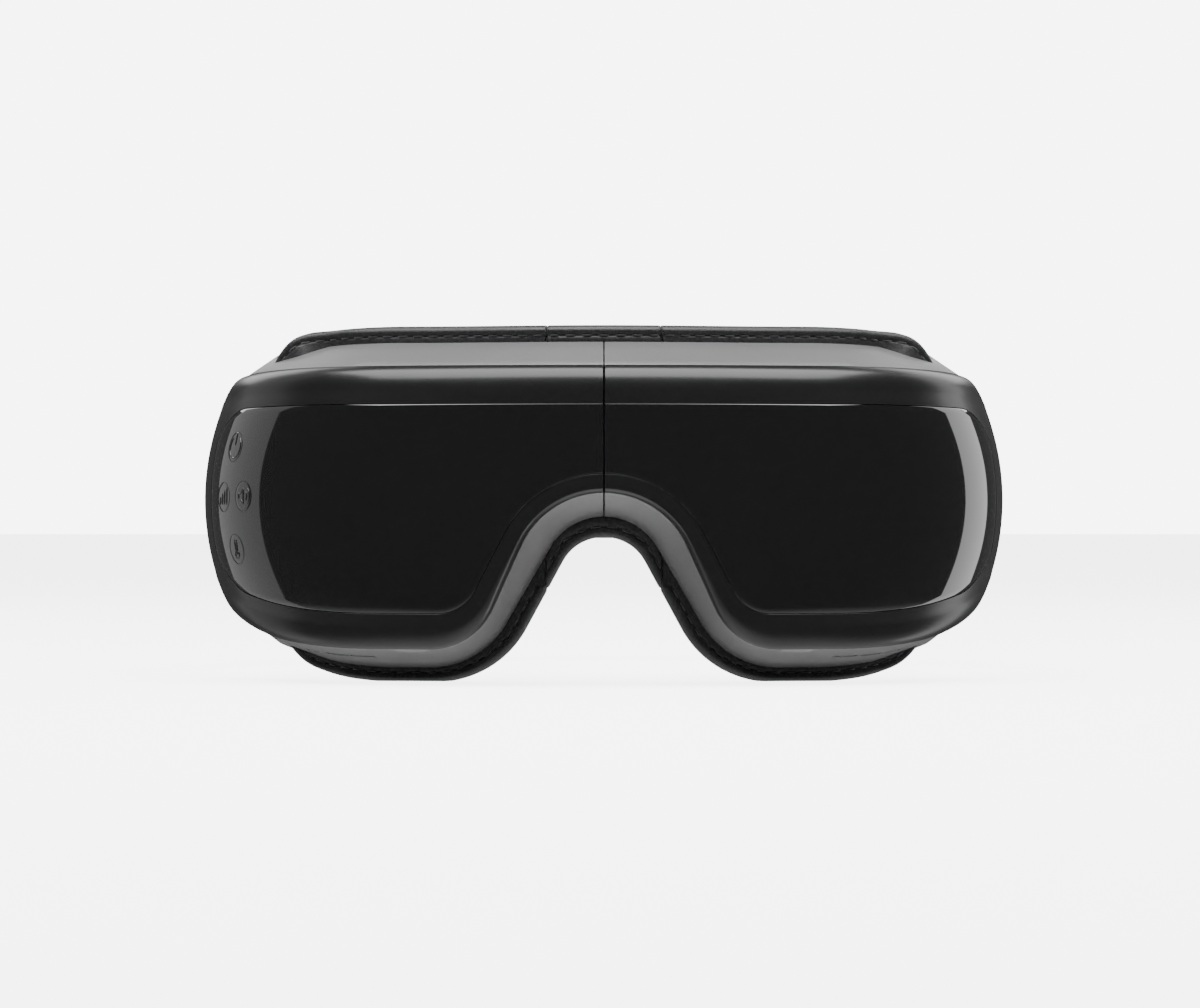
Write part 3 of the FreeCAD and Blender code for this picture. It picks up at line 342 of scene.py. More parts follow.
def material(name, colour, roughness, metallic=0.0, **sockets):
    """A material and its Principled BSDF."""
    made = bpy.data.materials.new(name)
    made.use_nodes = True
    shader = made.node_tree.nodes["Principled BSDF"]
    shader.inputs["Base Color"].default_value = (*colour, 1.0)
    shader.inputs["Roughness"].default_value = roughness
    shader.inputs["Metallic"].default_value = metallic
    for key, value in sockets.items():
        shader.inputs[key.replace("_", " ")].default_value = value
    return made, shader


def polished(name, colour, base, smear, dust, coat):
    """Gloss plastic: near-black resin under a clear polished skin, with handling marks."""
    made, shader = material(name, colour, base, Coat_Weight=coat, Coat_Roughness=base * 0.6)
    tree = made.node_tree
    marks = node(tree, "ShaderNodeGroup", node_tree=MARKS)
    marks.inputs["Base"].default_value = base
    marks.inputs["Smear"].default_value = smear
    marks.inputs["Dust"].default_value = dust
    tint = node(tree, "ShaderNodeMix", data_type="RGBA")
    tint.inputs["A"].default_value = (*colour, 1.0)
    tint.inputs["B"].default_value = (0.20, 0.20, 0.20, 1.0)
    bump = node(tree, "ShaderNodeBump", {"Strength": 0.006, "Distance": 0.00002})
    tree.links.new(marks.outputs["Dust Mask"], tint.inputs["Factor"])
    tree.links.new(tint.outputs["Result"], shader.inputs["Base Color"])
    tree.links.new(marks.outputs["Roughness"], shader.inputs["Roughness"])
    tree.links.new(marks.outputs["Height"], bump.inputs["Height"])
    tree.links.new(bump.outputs["Normal"], shader.inputs["Normal"])
    return made


cover_finish = polished("gloss_cover", (0.0062, 0.0062, 0.0066), 0.28, 0.04, 0.01, 0.12)
SHELL = stations(SEAM, LENGTH, 1.4, 0.25, 3.0)
recess_end = VISOR_END + GROOVE
cover_run = sorted([p for p in SHELL if abs(p[0] - recess_end) > 0.4] + [(recess_end, 0.0), (recess_end + 0.02, 0.0)])


def carved(piece, cutters):
    """The piece with the cutters taken away from it."""
    for cutter in cutters:
        cut = piece.modifiers.new("cut", "BOOLEAN")
        cut.operation, cut.solver, cut.object = "DIFFERENCE", "EXACT", cutter
    bpy.context.view_layer.update()
    shaped = bpy.data.meshes.new_from_object(piece.evaluated_get(bpy.context.evaluated_depsgraph_get()))
    piece.modifiers.clear()
    piece.data = shaped
    shaped.shade_smooth()
    shaped.set_sharp_from_angle(angle=math.radians(32))
    for cutter in cutters:
        bpy.data.objects.remove(cutter)
    return piece


KEYS = {"power_key": (104.4, 58.5), "mode_key": (108.6, 46.0), "sound_key": (98.2, 46.2),
        "temperature_key": (103.3, 33.0)}
KEY_RADIUS, KEY_GAP = 3.7, 0.06


def key_cutter(s, z, side, radius, near, far):
    """A round cutter square to the front at a key."""
    a, steps = turn_at(s), 64
    points = []
    for d in (near, far):
        x0, y0, _ = spot(s, z, d)
        for k in range(steps):
            t = 2 * math.pi * k / steps
            points.append((x0 + radius * math.cos(t) * math.cos(a), y0 + radius * math.cos(t) * math.sin(a),
                           z + radius * math.sin(t)))
    faces = [(k, (k + 1) % steps, steps + (k + 1) % steps, steps + k) for k in range(steps)]
    faces += [tuple(range(steps)), tuple(range(steps, 2 * steps))]
    return new_piece("cutter", mirrored(points, side), faces, cover_finish)


for half, side in HALVES:
    outer = [cover_line(s, drawn, VISOR_SKIN + 0.06) for s, drawn in cover_run]
    inner = [cover_line(min(max(s, SEAM + WALL), LENGTH - WALL), WALL, 0.0) for s, drawn in cover_run]
    points, faces = dish(outer, inner)
    cover = new_piece("cover_" + half, mirrored(points, side), faces, cover_finish)
    if half == "right":
        carved(cover, [key_cutter(s, z, side, KEY_RADIUS + KEY_GAP, -3, 6) for s, z in KEYS.values()])
    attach(cover, half + "_half")
    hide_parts("front_cover_" + half)

# ================================================================ visors
# A mirror-smooth black panel is bonded into a recess of each cover, with a hair-line groove round it.
# The wearer's right one has four round holes for the keys at the temple.
visor_finish = polished("visor_panel", (0.0036, 0.0036, 0.004), 0.045, 0.025, 0.006, 1.0)
VISOR_EDGE = 0.3


def sweep(rows):
    """Points and faces of a solid from closed rows, capped at both ends."""
    count = len(rows[0])
    points = [p for row in rows for p in row]
    faces = []
    for i in range(len(rows) - 1):
        for j in range(count):
            a, b = i * count + j, i * count + (j + 1) % count
            faces.append((a, b, b + count, a + count))
    faces.append(tuple(range(count)))
    faces.append(tuple(len(points) - count + j for j in range(count)))
    return points, faces


def visor_row(s, drop):
    low, top = visor_low(s), visor_top(s)
    soften = ((0.0, VISOR_EDGE), (0.08, 0.1), (VISOR_EDGE, 0.0))
    front = [(low + z, d) for z, d in soften]
    front += [(mix(low + VISOR_EDGE, top - VISOR_EDGE, k / 40), 0.0) for k in range(1, 40)]
    front += [(top - z, d) for z, d in soften[::-1]]
    row = [spot(s, z, front_depth(s, z) + max(d, drop)) for z, d in front]
    row += [spot(s, z, front_depth(s, z) + VISOR_SKIN) for z in (top, mix(top, low, 0.5), low)]
    return row


for half, side in HALVES:
    run = stations(SEAM, VISOR_END, 1.3, 0.15, VISOR_EDGE)
    points, faces = sweep([visor_row(s, drop) for s, drop in run])
    visor = new_piece("visor_panel_" + half, mirrored(points, side), faces, visor_finish)
    if half == "right":
        carved(visor, [key_cutter(s, z, side, KEY_RADIUS + KEY_GAP, -3, 6) for s, z in KEYS.values()])
    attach(visor, half + "_half")
    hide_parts("visor_" + half)

# ================================================================ keys
# Four round caps sit flush in the visor, each on its own switch. A raised mark tells them apart by touch:
# power, air pressure, sound and warmth.
key_finish = polished("key_cap", (0.0046, 0.0046, 0.005), 0.07, 0.04, 0.02, 1.0)
mark_finish = polished("key_mark", (0.010, 0.010, 0.011), 0.16, 0.05, 0.0, 0.4)


def key_cap(s, z):
    """A cap whose face follows the crowned front, with a softened rim."""
    rings = ((KEY_RADIUS - 0.15, 3.7), (KEY_RADIUS, 3.6), (KEY_RADIUS, 0.16), (KEY_RADIUS - 0.05, 0.05),
             (KEY_RADIUS - 0.16, 0.0), (3.0, 0.0), (2.2, 0.0), (1.4, 0.0), (0.6, 0.0))
    steps, a = 64, turn_at(s)
    points = []
    for radius, sunk in rings:
        for k in range(steps):
            t = 2 * math.pi * k / steps
            u, v = radius * math.cos(t), radius * math.sin(t)
            depth = u * u / (2 * TEMPLE_RADIUS) + front_depth(s + u, z + v) + sunk
            x0, y0, _ = spot(s, z, depth)
            points.append((x0 + u * math.cos(a), y0 + u * math.sin(a), z + v))
    faces = []
    for i in range(len(rings) - 1):
        for k in range(steps):
            b = (k + 1) % steps
            faces.append((i * steps + k, i * steps + b, (i + 1) * steps + b, (i + 1) * steps + k))
    faces.append(tuple(range(steps)))
    faces.append(tuple((len(rings) - 1) * steps + k for k in range(steps)))
    return points, faces


def bead(path, radius, s, z):
    """A raised line on a key: a half-sunk round bead along (u, v) points."""
    steps, points, faces = 8, [], []
    for i, (u, v) in enumerate(path):
        before, after = path[max(i - 1, 0)], path[min(i + 1, len(path) - 1)]
        run = math.atan2(after[1] - before[1], after[0] - before[0])
        size = radius * (0.45 if i in (0, len(path) - 1) else 1.0)
        for k in range(steps):
            t = 2 * math.pi * k / steps
            across, up = size * math.cos(t), size * 0.8 * math.sin(t)
            uu, vv = u - across * math.sin(run), v + across * math.cos(run)
            points.append(spot(s + uu, z + vv, front_depth(s + uu, z + vv) - up))
    for i in range(len(path) - 1):
        for k in range(steps):
            b = (k + 1) % steps
            faces.append((i * steps + k, i * steps + b, (i + 1) * steps + b, (i + 1) * steps + k))
    faces.append(tuple(range(steps)))
    faces.append(tuple((len(path) - 1) * steps + k for k in range(steps)))
    return points, faces


def bow(radius, start, stop, cu=0.0, cv=0.0, count=24):
    """Points of an arc, angles in degrees."""
    made = []
    for k in range(count + 1):
        t = math.radians(mix(start, stop, k / count))
        made.append((cu + radius * math.cos(t), cv + radius * math.sin(t)))
    return made


def stroke(*corners):
    """A straight or bent line with points close enough to follow the key's curve."""
    made = []
    for (u0, v0), (u1, v1) in zip(corners, corners[1:]):
        made += [(mix(u0, u1, k / 6), mix(v0, v1, k / 6)) for k in range(6)]
    return made + [corners[-1]]


MARKS_ON_KEYS = {
    "power_key": (1.2, bow(2.35, 125, 415), stroke((0, 0.3), (0, 2.9))),
    "mode_key": (1.3, stroke((-1.5, -1.5), (-1.5, 0.0)), stroke((-0.5, -1.5), (-0.5, 0.7)),
                 stroke((0.5, -1.5), (0.5, 1.3)), stroke((1.5, -1.5), (1.5, 1.9))),
    "sound_key": (1.3, stroke((-1.6, -0.5), (-0.9, -0.5), (0.0, -1.4), (0.0, 1.4), (-0.9, 0.5), (-1.6, 0.5),
                              (-1.6, -0.5)), bow(1.1, -50, 50, 0.1), bow(2.0, -50, 50, 0.1)),
    "temperature_key": (1.15, bow(0.85, 120, 420, 0.0, -1.2), stroke((-0.42, -0.5), (-0.42, 1.7)),
                        bow(0.42, 180, 0, 0.0, 1.7), stroke((0.42, 1.7), (0.42, -0.5)),
                        stroke((0.0, -1.2), (0.0, 0.8))),
}
for name, (s, z) in KEYS.items():
    body = name.replace("_key", "")
    points, faces = key_cap(s, z)
    cap = new_piece(name + "_cap", mirrored(points, -1), faces, key_finish)
    points, faces = [], []
    size, *lines = MARKS_ON_KEYS[name]
    for line in lines:
        some, joined = bead([(-u * size, v * size) for u, v in line], 0.24, s, z)
        faces += [tuple(i + len(points) for i in face) for face in joined]
        points += some
    mark = new_piece(name + "_mark", mirrored(points, -1), faces, mark_finish, 60)
    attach(cap, body)
    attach(mark, body)
    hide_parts(name)

# ================================================================ side frames
# Behind the crisp edge each half has a satin grey frame: a moulded band with a metallic coat, screwed to
# the rear cover. It carries the cooling slots, the strap's slot and the charging socket's mouth.


def fine_grain():
    """Fine orange peel and flake of a sprayed coat, with slightly polished and scuffed areas."""
    tree, start, end = group("fine_grain", (("Scale", "NodeSocketFloat", 2500.0), ("Spread", "NodeSocketFloat", 0.08),
                                            ("Base", "NodeSocketFloat", 0.4)),
                             (("Roughness", "NodeSocketFloat"), ("Flake", "NodeSocketFloat"),
                              ("Height", "NodeSocketFloat")))
    place = node(tree, "ShaderNodeTexCoord")
    peel = node(tree, "ShaderNodeTexNoise", {"Detail": 2.0})
    wide = node(tree, "ShaderNodeTexNoise", {"Scale": 45.0, "Detail": 3.0})
    flake = node(tree, "ShaderNodeTexVoronoi", {"Scale": 5200.0})
    centred = node(tree, "ShaderNodeMath", operation="SUBTRACT")
    centred.inputs[1].default_value = 0.5
    spread = node(tree, "ShaderNodeMath", operation="MULTIPLY_ADD")
    link = tree.links.new
    for texture in (peel, wide, flake):
        link(place.outputs["Object"], texture.inputs["Vector"])
    link(start.outputs["Scale"], peel.inputs["Scale"])
    link(wide.outputs["Fac"], centred.inputs[0])
    link(centred.outputs["Value"], spread.inputs[0])
    link(start.outputs["Spread"], spread.inputs[1])
    link(start.outputs["Base"], spread.inputs[2])
    link(spread.outputs["Value"], end.inputs["Roughness"])
    link(flake.outputs["Color"], end.inputs["Flake"])
    link(peel.outputs["Fac"], end.inputs["Height"])
    return tree


GRAIN = fine_grain()


def grained(name, colour, light, roughness, metallic, scale, strength, spread=0.08, **sockets):
    """A finely grained surface between two near shades."""
    made, shader = material(name, colour, roughness, metallic, **sockets)
    tree = made.node_tree
    grain = node(tree, "ShaderNodeGroup", node_tree=GRAIN)
    grain.inputs["Scale"].default_value = scale
    grain.inputs["Spread"].default_value = spread
    grain.inputs["Base"].default_value = roughness
    tint = node(tree, "ShaderNodeMix", data_type="RGBA")
    tint.inputs["A"].default_value = (*colour, 1.0)
    tint.inputs["B"].default_value = (*light, 1.0)
    bump = node(tree, "ShaderNodeBump", {"Strength": strength, "Distance": 0.00005})
    tree.links.new(grain.outputs["Flake"], tint.inputs["Factor"])
    tree.links.new(tint.outputs["Result"], shader.inputs["Base Color"])
    tree.links.new(grain.outputs["Roughness"], shader.inputs["Roughness"])
    tree.links.new(grain.outputs["Height"], bump.inputs["Height"])
    tree.links.new(bump.outputs["Normal"], shader.inputs["Normal"])
    return made


frame_finish = grained("satin_frame", (0.24, 0.24, 0.245), (0.29, 0.29, 0.295), 0.38, 0.6, 3200.0, 0.12)


def ring(loops):
    """Points and faces of a closed ring from closed sections."""
    count, total = len(loops[0]), len(loops)
    points = [p for loop in loops for p in loop]
    faces = []
    for i in range(total):
        for j in range(count):
            a, b = i * count, ((i + 1) % total) * count
            faces.append((a + j, b + j, b + (j + 1) % count, a + (j + 1) % count))
    return points, faces


def frame_point(s, where, k, drawn, amount):
    """A point of the frame: where is 0 at the top and 1 at the bottom, k is 0 at the crisp edge and 1 behind."""
    s2 = min(max(s, SEAM + amount), LENGTH - amount)
    top = mix(edge_top(s2), brim_top(s2), k) - drawn - amount
    low = mix(edge_low(s2, drawn + amount), brim_low(s2, drawn + amount), k)
    return spot(s2, mix(top, low, where), mix(edge_depth(s2) + 0.6 * drawn, rear_depth(s2), k))


def slot_cutter(s, z, near, far, half_x, low, high, side):
    """A square-cornered cutter in the plane that touches the front at s."""
    a = turn_at(s)
    points = []
    for x in (-half_x, half_x):
        for y in (near, far):
            for up in (low, high):
                x0, y0, _ = spot(s, z, y)
                points.append((x0 + x * math.cos(a), y0 + x * math.sin(a), z + up))
    faces = [(0, 1, 3, 2), (4, 6, 7, 5), (0, 4, 5, 1), (2, 3, 7, 6), (0, 2, 6, 4), (1, 5, 7, 3)]
    return new_piece("cutter", mirrored(points, side), faces, frame_finish)


STRAP_Z, STRAP_HALF, ANCHOR_NEAR, ANCHOR_FAR = 49.6, 15.0, 12.2, 14.8
for half, side in HALVES:
    around = [(s, 0.0, drawn) for s, drawn in SHELL]
    around += [(LENGTH, k / 10, SHELL[-1][1]) for k in range(1, 10)]
    around += [(s, 1.0, drawn) for s, drawn in SHELL[::-1]]
    around += [(SEAM, 1 - k / 10, SHELL[0][1]) for k in range(1, 10)]
    section = ((0.0, 0.14), (0.008, 0.0), (0.2, 0.0), (0.45, 0.0), (0.7, 0.0), (0.975, 0.0), (0.99, 0.08), (1.0, 0.3),
               (1.0, WALL), (0.0, WALL))
    loops = []
    for s, where, drawn in around:
        loops.append([frame_point(s, where, k, drawn if amount < WALL else 0.0, amount) for k, amount in section])
    points, faces = ring(loops)
    band = new_piece("frame_" + half, mirrored(points, side), faces, frame_finish)
    cutters = [slot_cutter(s, brim_low(s), 15.2, 16.8, 3.5, -8, 12, side) for s in (68.0, 78.0, 88.0)]
    cutters.append(slot_cutter(LENGTH, STRAP_Z, ANCHOR_NEAR - 0.1, ANCHOR_FAR + 0.1, 3.4, -13.1, 13.1, side))
    if half == "right":
        cutters.append(slot_cutter(110.0, 0, 15.2 - 1.7, 15.2 + 1.7, 4.6, 2, 30, side))
    carved(band, cutters)
    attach(band, half + "_half")
    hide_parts("side_frame_" + half)

# ================================================================ charging socket
# A drawn steel shell with a black tongue sits behind the right frame's mouth and follows its sloping underside.
SOCKET_S, SOCKET_DEPTH = 110.0, 15.2


def underside(s, d):
    """Height of the frame's underside at a depth."""
    k = (d - edge_depth(s)) / (rear_depth(s) - edge_depth(s))
    return mix(edge_low(s), brim_low(s), k)


def socket_ring(half_u, half_v, lift, level):
    """Points of a rounded oblong, sunk by lift behind the underside where level is not given."""
    a = turn_at(SOCKET_S)
    x0, y0, _ = spot(SOCKET_S, 0, SOCKET_DEPTH)
    made = []
    for side in (1, -1):
        for k in range(13):
            t = math.radians(-90 + 15 * k)
            u = side * (half_u - half_v + half_v * math.cos(t))
            v = side * half_v * math.sin(t)
            s = SOCKET_S + u / (1 - SOCKET_DEPTH / TEMPLE_RADIUS)
            z = underside(s, SOCKET_DEPTH + v) + lift if level is None else level
            made.append((x0 + u * math.cos(a) - v * math.sin(a), y0 + u * math.sin(a) + v * math.cos(a), z))
    return made


socket_finish = grained("socket_steel", (0.42, 0.42, 0.44), (0.50, 0.50, 0.52), 0.28, 1.0, 1800.0, 0.15)
tongue_finish = grained("socket_tongue", (0.016, 0.016, 0.017), (0.024, 0.024, 0.025), 0.5, 0.0, 2600.0, 0.2)
top_level = underside(SOCKET_S, SOCKET_DEPTH) + 8.0
shell = [socket_ring(4.45, 1.6, 0.35, None), socket_ring(4.47, 1.62, 0.5, None),
         socket_ring(4.47, 1.62, 0, top_level), socket_ring(4.17, 1.3, 0, top_level - 0.3),
         socket_ring(4.17, 1.3, 0.5, None), socket_ring(4.2, 1.33, 0.35, None)]
count = len(shell[0])
points = [p for row in shell for p in row]
faces = [(i * count + k, i * count + (k + 1) % count, (i + 1) % 6 * count + (k + 1) % count, (i + 1) % 6 * count + k)
         for i in range(6) if i != 2 for k in range(count)]
faces += [tuple(2 * count + k for k in range(count)), tuple(3 * count + k for k in range(count))]
mouth = new_piece("socket_shell", mirrored(points, -1), faces, socket_finish, 40)
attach(mouth, "right_half")
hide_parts("charging_socket")
points, faces = sweep([socket_ring(3.3, 0.35, 1.3, None), socket_ring(3.4, 0.4, 1.5, None),
                       socket_ring(3.4, 0.4, 0, top_level - 0.5)])
tongue = new_piece("socket_tongue", mirrored(points, -1), faces, tongue_finish, 40)
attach(tongue, "right_half")

# ================================================================ padded rings
# A foam ring in soft black leather lies on the back of each half and rests on the face. Its lip stands
# above the frame, with a flange sewn down by a row of stitches, and its window shows the eye cushion.
EYE_S, EYE_Z = 54.0, 50.0
PAD_ARCH = (36.0, -0.3, 11.5, 26.0, 42.0)
PAD_START, PAD_END = 16.8, LENGTH - 9.9


def leather_grain():
    """Pebbled leather: cells of two sizes with creases between them, with painted shade: a darker colour in the
    creases.
    """
    tree, start, end = group("leather_grain",
                             (("Scale", "NodeSocketFloat", 900.0), ("Wrinkle", "NodeSocketFloat", 0.4)),
                             (("Crease Shade", "NodeSocketFloat"), ("Height", "NodeSocketFloat"),
                              ("Wear", "NodeSocketFloat")))
    place = node(tree, "ShaderNodeTexCoord")
    bend = node(tree, "ShaderNodeTexNoise", {"Scale": 260.0, "Detail": 3.0})
    shift = node(tree, "ShaderNodeVectorMath", operation="MULTIPLY_ADD")
    shift.inputs[1].default_value = (0.0016, 0.0016, 0.0016)
    cells = node(tree, "ShaderNodeTexVoronoi", feature="DISTANCE_TO_EDGE")
    fold = node(tree, "ShaderNodeTexNoise", {"Scale": 70.0, "Detail": 5.0, "Roughness": 0.6, "Distortion": 0.8})
    worn = node(tree, "ShaderNodeTexNoise", {"Scale": 28.0, "Detail": 2.0})
    sink = node(tree, "ShaderNodeMapRange", {"From Max": 0.16})
    both = node(tree, "ShaderNodeMath", operation="MULTIPLY_ADD")
    link = tree.links.new
    for texture in (bend, fold, worn):
        link(place.outputs["Object"], texture.inputs["Vector"])
    link(bend.outputs["Color"], shift.inputs[0])
    link(place.outputs["Object"], shift.inputs[2])
    link(shift.outputs["Vector"], cells.inputs["Vector"])
    link(start.outputs["Scale"], cells.inputs["Scale"])
    link(cells.outputs["Distance"], sink.inputs["Value"])
    link(fold.outputs["Fac"], both.inputs[0])
    link(start.outputs["Wrinkle"], both.inputs[1])
    link(sink.outputs["Result"], both.inputs[2])
    # The crease mask is passed out to paint shade: the leather's colour is darkened in the creases.
    link(sink.outputs["Result"], end.inputs["Crease Shade"])
    link(both.outputs["Value"], end.inputs["Height"])
    link(worn.outputs["Fac"], end.inputs["Wear"])
    return tree


LEATHER = leather_grain()


def leather(name, colour, light, roughness, scale, wrinkle):
    made, shader = material(name, colour, roughness, Sheen_Weight=0.12, Sheen_Roughness=0.4)
    tree = made.node_tree
    grain = node(tree, "ShaderNodeGroup", node_tree=LEATHER)
    grain.inputs["Scale"].default_value = scale
    grain.inputs["Wrinkle"].default_value = wrinkle
    # Painted crease shade: the colour drops to 0.45 of the leather's own colour in the grain's creases and is lighter
    # on the cells.
    tint = node(tree, "ShaderNodeMix", data_type="RGBA")
    tint.inputs["A"].default_value = (colour[0] * 0.45, colour[1] * 0.45, colour[2] * 0.45, 1.0)
    tint.inputs["B"].default_value = (*light, 1.0)
    gloss = node(tree, "ShaderNodeMapRange", {"From Min": 0.3, "From Max": 0.7, "To Min": roughness - 0.07,
                                              "To Max": roughness + 0.09})
    bump = node(tree, "ShaderNodeBump", {"Strength": 0.25, "Distance": 0.0001})
    tree.links.new(grain.outputs["Crease Shade"], tint.inputs["Factor"])
    tree.links.new(tint.outputs["Result"], shader.inputs["Base Color"])
    tree.links.new(grain.outputs["Wear"], gloss.inputs["Value"])
    tree.links.new(gloss.outputs["Result"], shader.inputs["Roughness"])
    tree.links.new(grain.outputs["Height"], bump.inputs["Height"])
    tree.links.new(bump.outputs["Normal"], shader.inputs["Normal"])
    return made


leather_finish = leather("soft_leather", (0.016, 0.016, 0.017), (0.022, 0.022, 0.023), 0.46, 1100.0, 0.5)
thread_finish, thread_shader = material("stitch_thread", (0.02, 0.02, 0.021), 0.6, Sheen_Weight=0.3)
twist = node(thread_finish.node_tree, "ShaderNodeTexWave", {"Scale": 1500.0, "Distortion": 1.0})
twist_place = node(thread_finish.node_tree, "ShaderNodeTexCoord")
twist_bump = node(thread_finish.node_tree, "ShaderNodeBump", {"Strength": 0.5, "Distance": 0.0001})
thread_finish.node_tree.links.new(twist_place.outputs["Object"], twist.inputs["Vector"])
thread_finish.node_tree.links.new(twist.outputs["Fac"], twist_bump.inputs["Height"])
thread_finish.node_tree.links.new(twist_bump.outputs["Normal"], thread_shader.inputs["Normal"])


def pad_low(s):
    leather_at = arch_height(spot(s, 0, rear_depth(s) + 5)[0], PAD_ARCH) + rise(s, 7.5)
    height = leather_at + 3.4 * ease((s - PAD_END + 27) / 25)
    return MIDDLE + (height - MIDDLE) * share_left(s, PAD_END, 20.0, 0.55)


def pad_top(s):
    height = PAD_TOP - rise(s, 3.0) - 3.6 * ease((s - PAD_END + 16) / 16)
    return MIDDLE + (height - MIDDLE) * share_left(s, PAD_END, 20.0, 0.55)


def mask_place(x, y):
    """(s, d) of a point seen from above."""
    a = math.atan2(x, BROW_RADIUS - y)
    if a <= BROW_TURN:
        return a * BROW_RADIUS, BROW_RADIUS - math.hypot(x, BROW_RADIUS - y)
    x0, y0 = HALF_WIDTH - TEMPLE_RADIUS, BROW_DEPTH + TEMPLE_RADIUS * math.cos(BROW_TURN)
    a = math.atan2(x - x0, y0 - y)
    return BROW_LENGTH + (a - BROW_TURN) * TEMPLE_RADIUS, TEMPLE_RADIUS - math.hypot(x - x0, y0 - y)


def eye_point(x, y, z):
    """A point in the eye's own axes: x along the front, y into the depth, z up."""
    a = turn_at(EYE_S)
    x0, y0, _ = spot(EYE_S, 0)
    return (x0 + x * math.cos(a) - y * math.sin(a), y0 + x * math.sin(a) + y * math.cos(a), EYE_Z + z)


def soft_square(angle, half_w, half_h, power=3.4):
    """A point on a rounded rectangle in a direction."""
    c, n = math.cos(angle), math.sin(angle)
    reach = (abs(c / half_w) ** power + abs(n / half_h) ** power) ** (-1 / power)
    return reach * c, reach * n


def window_point(angle, height):
    """(s, z) of the window's edge, that far above the back of the frame."""
    x, z = soft_square(angle, 24.4, 23.4)
    y = 30.0
    for _ in range(14):
        gx, gy, _ = eye_point(x, y, 0)
        s, d = mask_place(gx, gy)
        y += (rear_depth(s) + height - d) * 0.9
    return s, EYE_Z + z


def pad_outline():
    """The ring's outer edge, about a millimetre apart, as (s, z, which side of the ring)."""
    run = [mix(PAD_START, PAD_END, k / 110) for k in range(111)]
    top = [(s, pad_top(s), "top") for s in run]
    low = [(s, pad_low(s), "low") for s in run]
    end = [(PAD_END, mix(top[-1][1], low[-1][1], k / 34), "end") for k in range(1, 34)]
    start = [(PAD_START, mix(low[0][1], top[0][1], k / 50), "start") for k in range(1, 50)]
    outline = top + end + low[::-1] + start
    for _ in range(5):
        eased = []
        for k, (s, z, side) in enumerate(outline):
            (s0, z0, _), (s1, z1, _) = outline[k - 1], outline[(k + 1) % len(outline)]
            eased.append(((s0 + 2 * s + s1) / 4, (z0 + 2 * z + z1) / 4, side) if s > 60.0 else (s, z, side))
        outline = eased
    return outline


LIP = ((3.5, 0.03), (3.1, 0.03), (2.9, 0.1), (2.62, 0.42), (2.35, 0.12), (1.8, -0.28), (1.1, -0.22), (0.45, 0.45),
       (0.1, 1.5), (0.0, 3.0), (0.05, 5.0), (0.45, 6.9), (1.4, 8.3))
JOINED = ((3.5, 0.03), (3.1, 0.03), (2.0, 0.03), (1.0, 0.03), (0.5, 0.05), (0.3, 0.1), (0.15, 0.2), (0.05, 0.6),
          (0.0, 1.5), (0.0, 3.0), (0.0, 5.0), (0.1, 7.4), (0.5, 8.6))
CROWN = ((0.0, 9.05), (0.12, 9.35), (0.3, 9.6), (0.5, 9.65), (0.7, 9.5), (0.88, 9.1), (1.0, 8.6))
INNER = ((0.9, 7.7), (1.5, 6.2), (1.7, 4.2), (1.7, 0.05))


def pad_sections():
    """Closed sections of the ring, and the seam points where its flange is sewn down."""
    sections, seams, outline = [], [], pad_outline()
    for k, (s, z, side) in enumerate(outline):
        before, after = outline[k - 1], outline[(k + 1) % len(outline)]
        before = before if before[2] == side or s > 60.0 else (s, z)
        after = after if after[2] == side or s > 60.0 else (s, z)
        flat = 1 - rear_depth(s) / (BROW_RADIUS if s <= BROW_LENGTH else TEMPLE_RADIUS)
        ds, dz = (after[0] - before[0]) * flat, after[1] - before[1]
        length = math.hypot(ds, dz)
        inward_s, inward_z = dz / length / flat, -ds / length
        ws, wz = window_point(math.atan2(z - EYE_Z, (s - EYE_S) * 0.72), 7.0)
        near_s, near_z = s + 3.2 * inward_s, z + 3.2 * inward_z
        reach = (Vector(spot(ws, wz, 30)) - Vector(spot(near_s, near_z, 30))).length
        lap = ease((s - 92) / 22) * (6 * ease((z - MIDDLE - 14) / 15) + 4 * ease((MIDDLE - 12 - z) / 15))

        def laid(s2, z2, height, lap=lap):
            forward = lap * (1 - ease((height - 0.5) / 6.5))
            return spot(s2, max(z2, 0.05), rear_depth(s2) + height - forward)

        section = [laid(s + i * inward_s, z + i * inward_z, h) for i, h in (JOINED if side == "start" else LIP)]
        for f, height in CROWN:
            t = f * (reach - 1.7) / reach
            section.append(laid(mix(near_s, ws, t), mix(near_z, wz, t), height))
        for inward, height in INNER:
            t = (reach - 1.7 + inward) / reach
            section.append(laid(mix(near_s, ws, t), mix(near_z, wz, t), height))
        sections.append(section)
        if side != "start":
            seam_s, seam_z = s + 2.62 * inward_s, z + 2.62 * inward_z
            seams.append((laid(seam_s, seam_z, 0.16), laid(seam_s, seam_z, -1.0)))
    return sections, seams


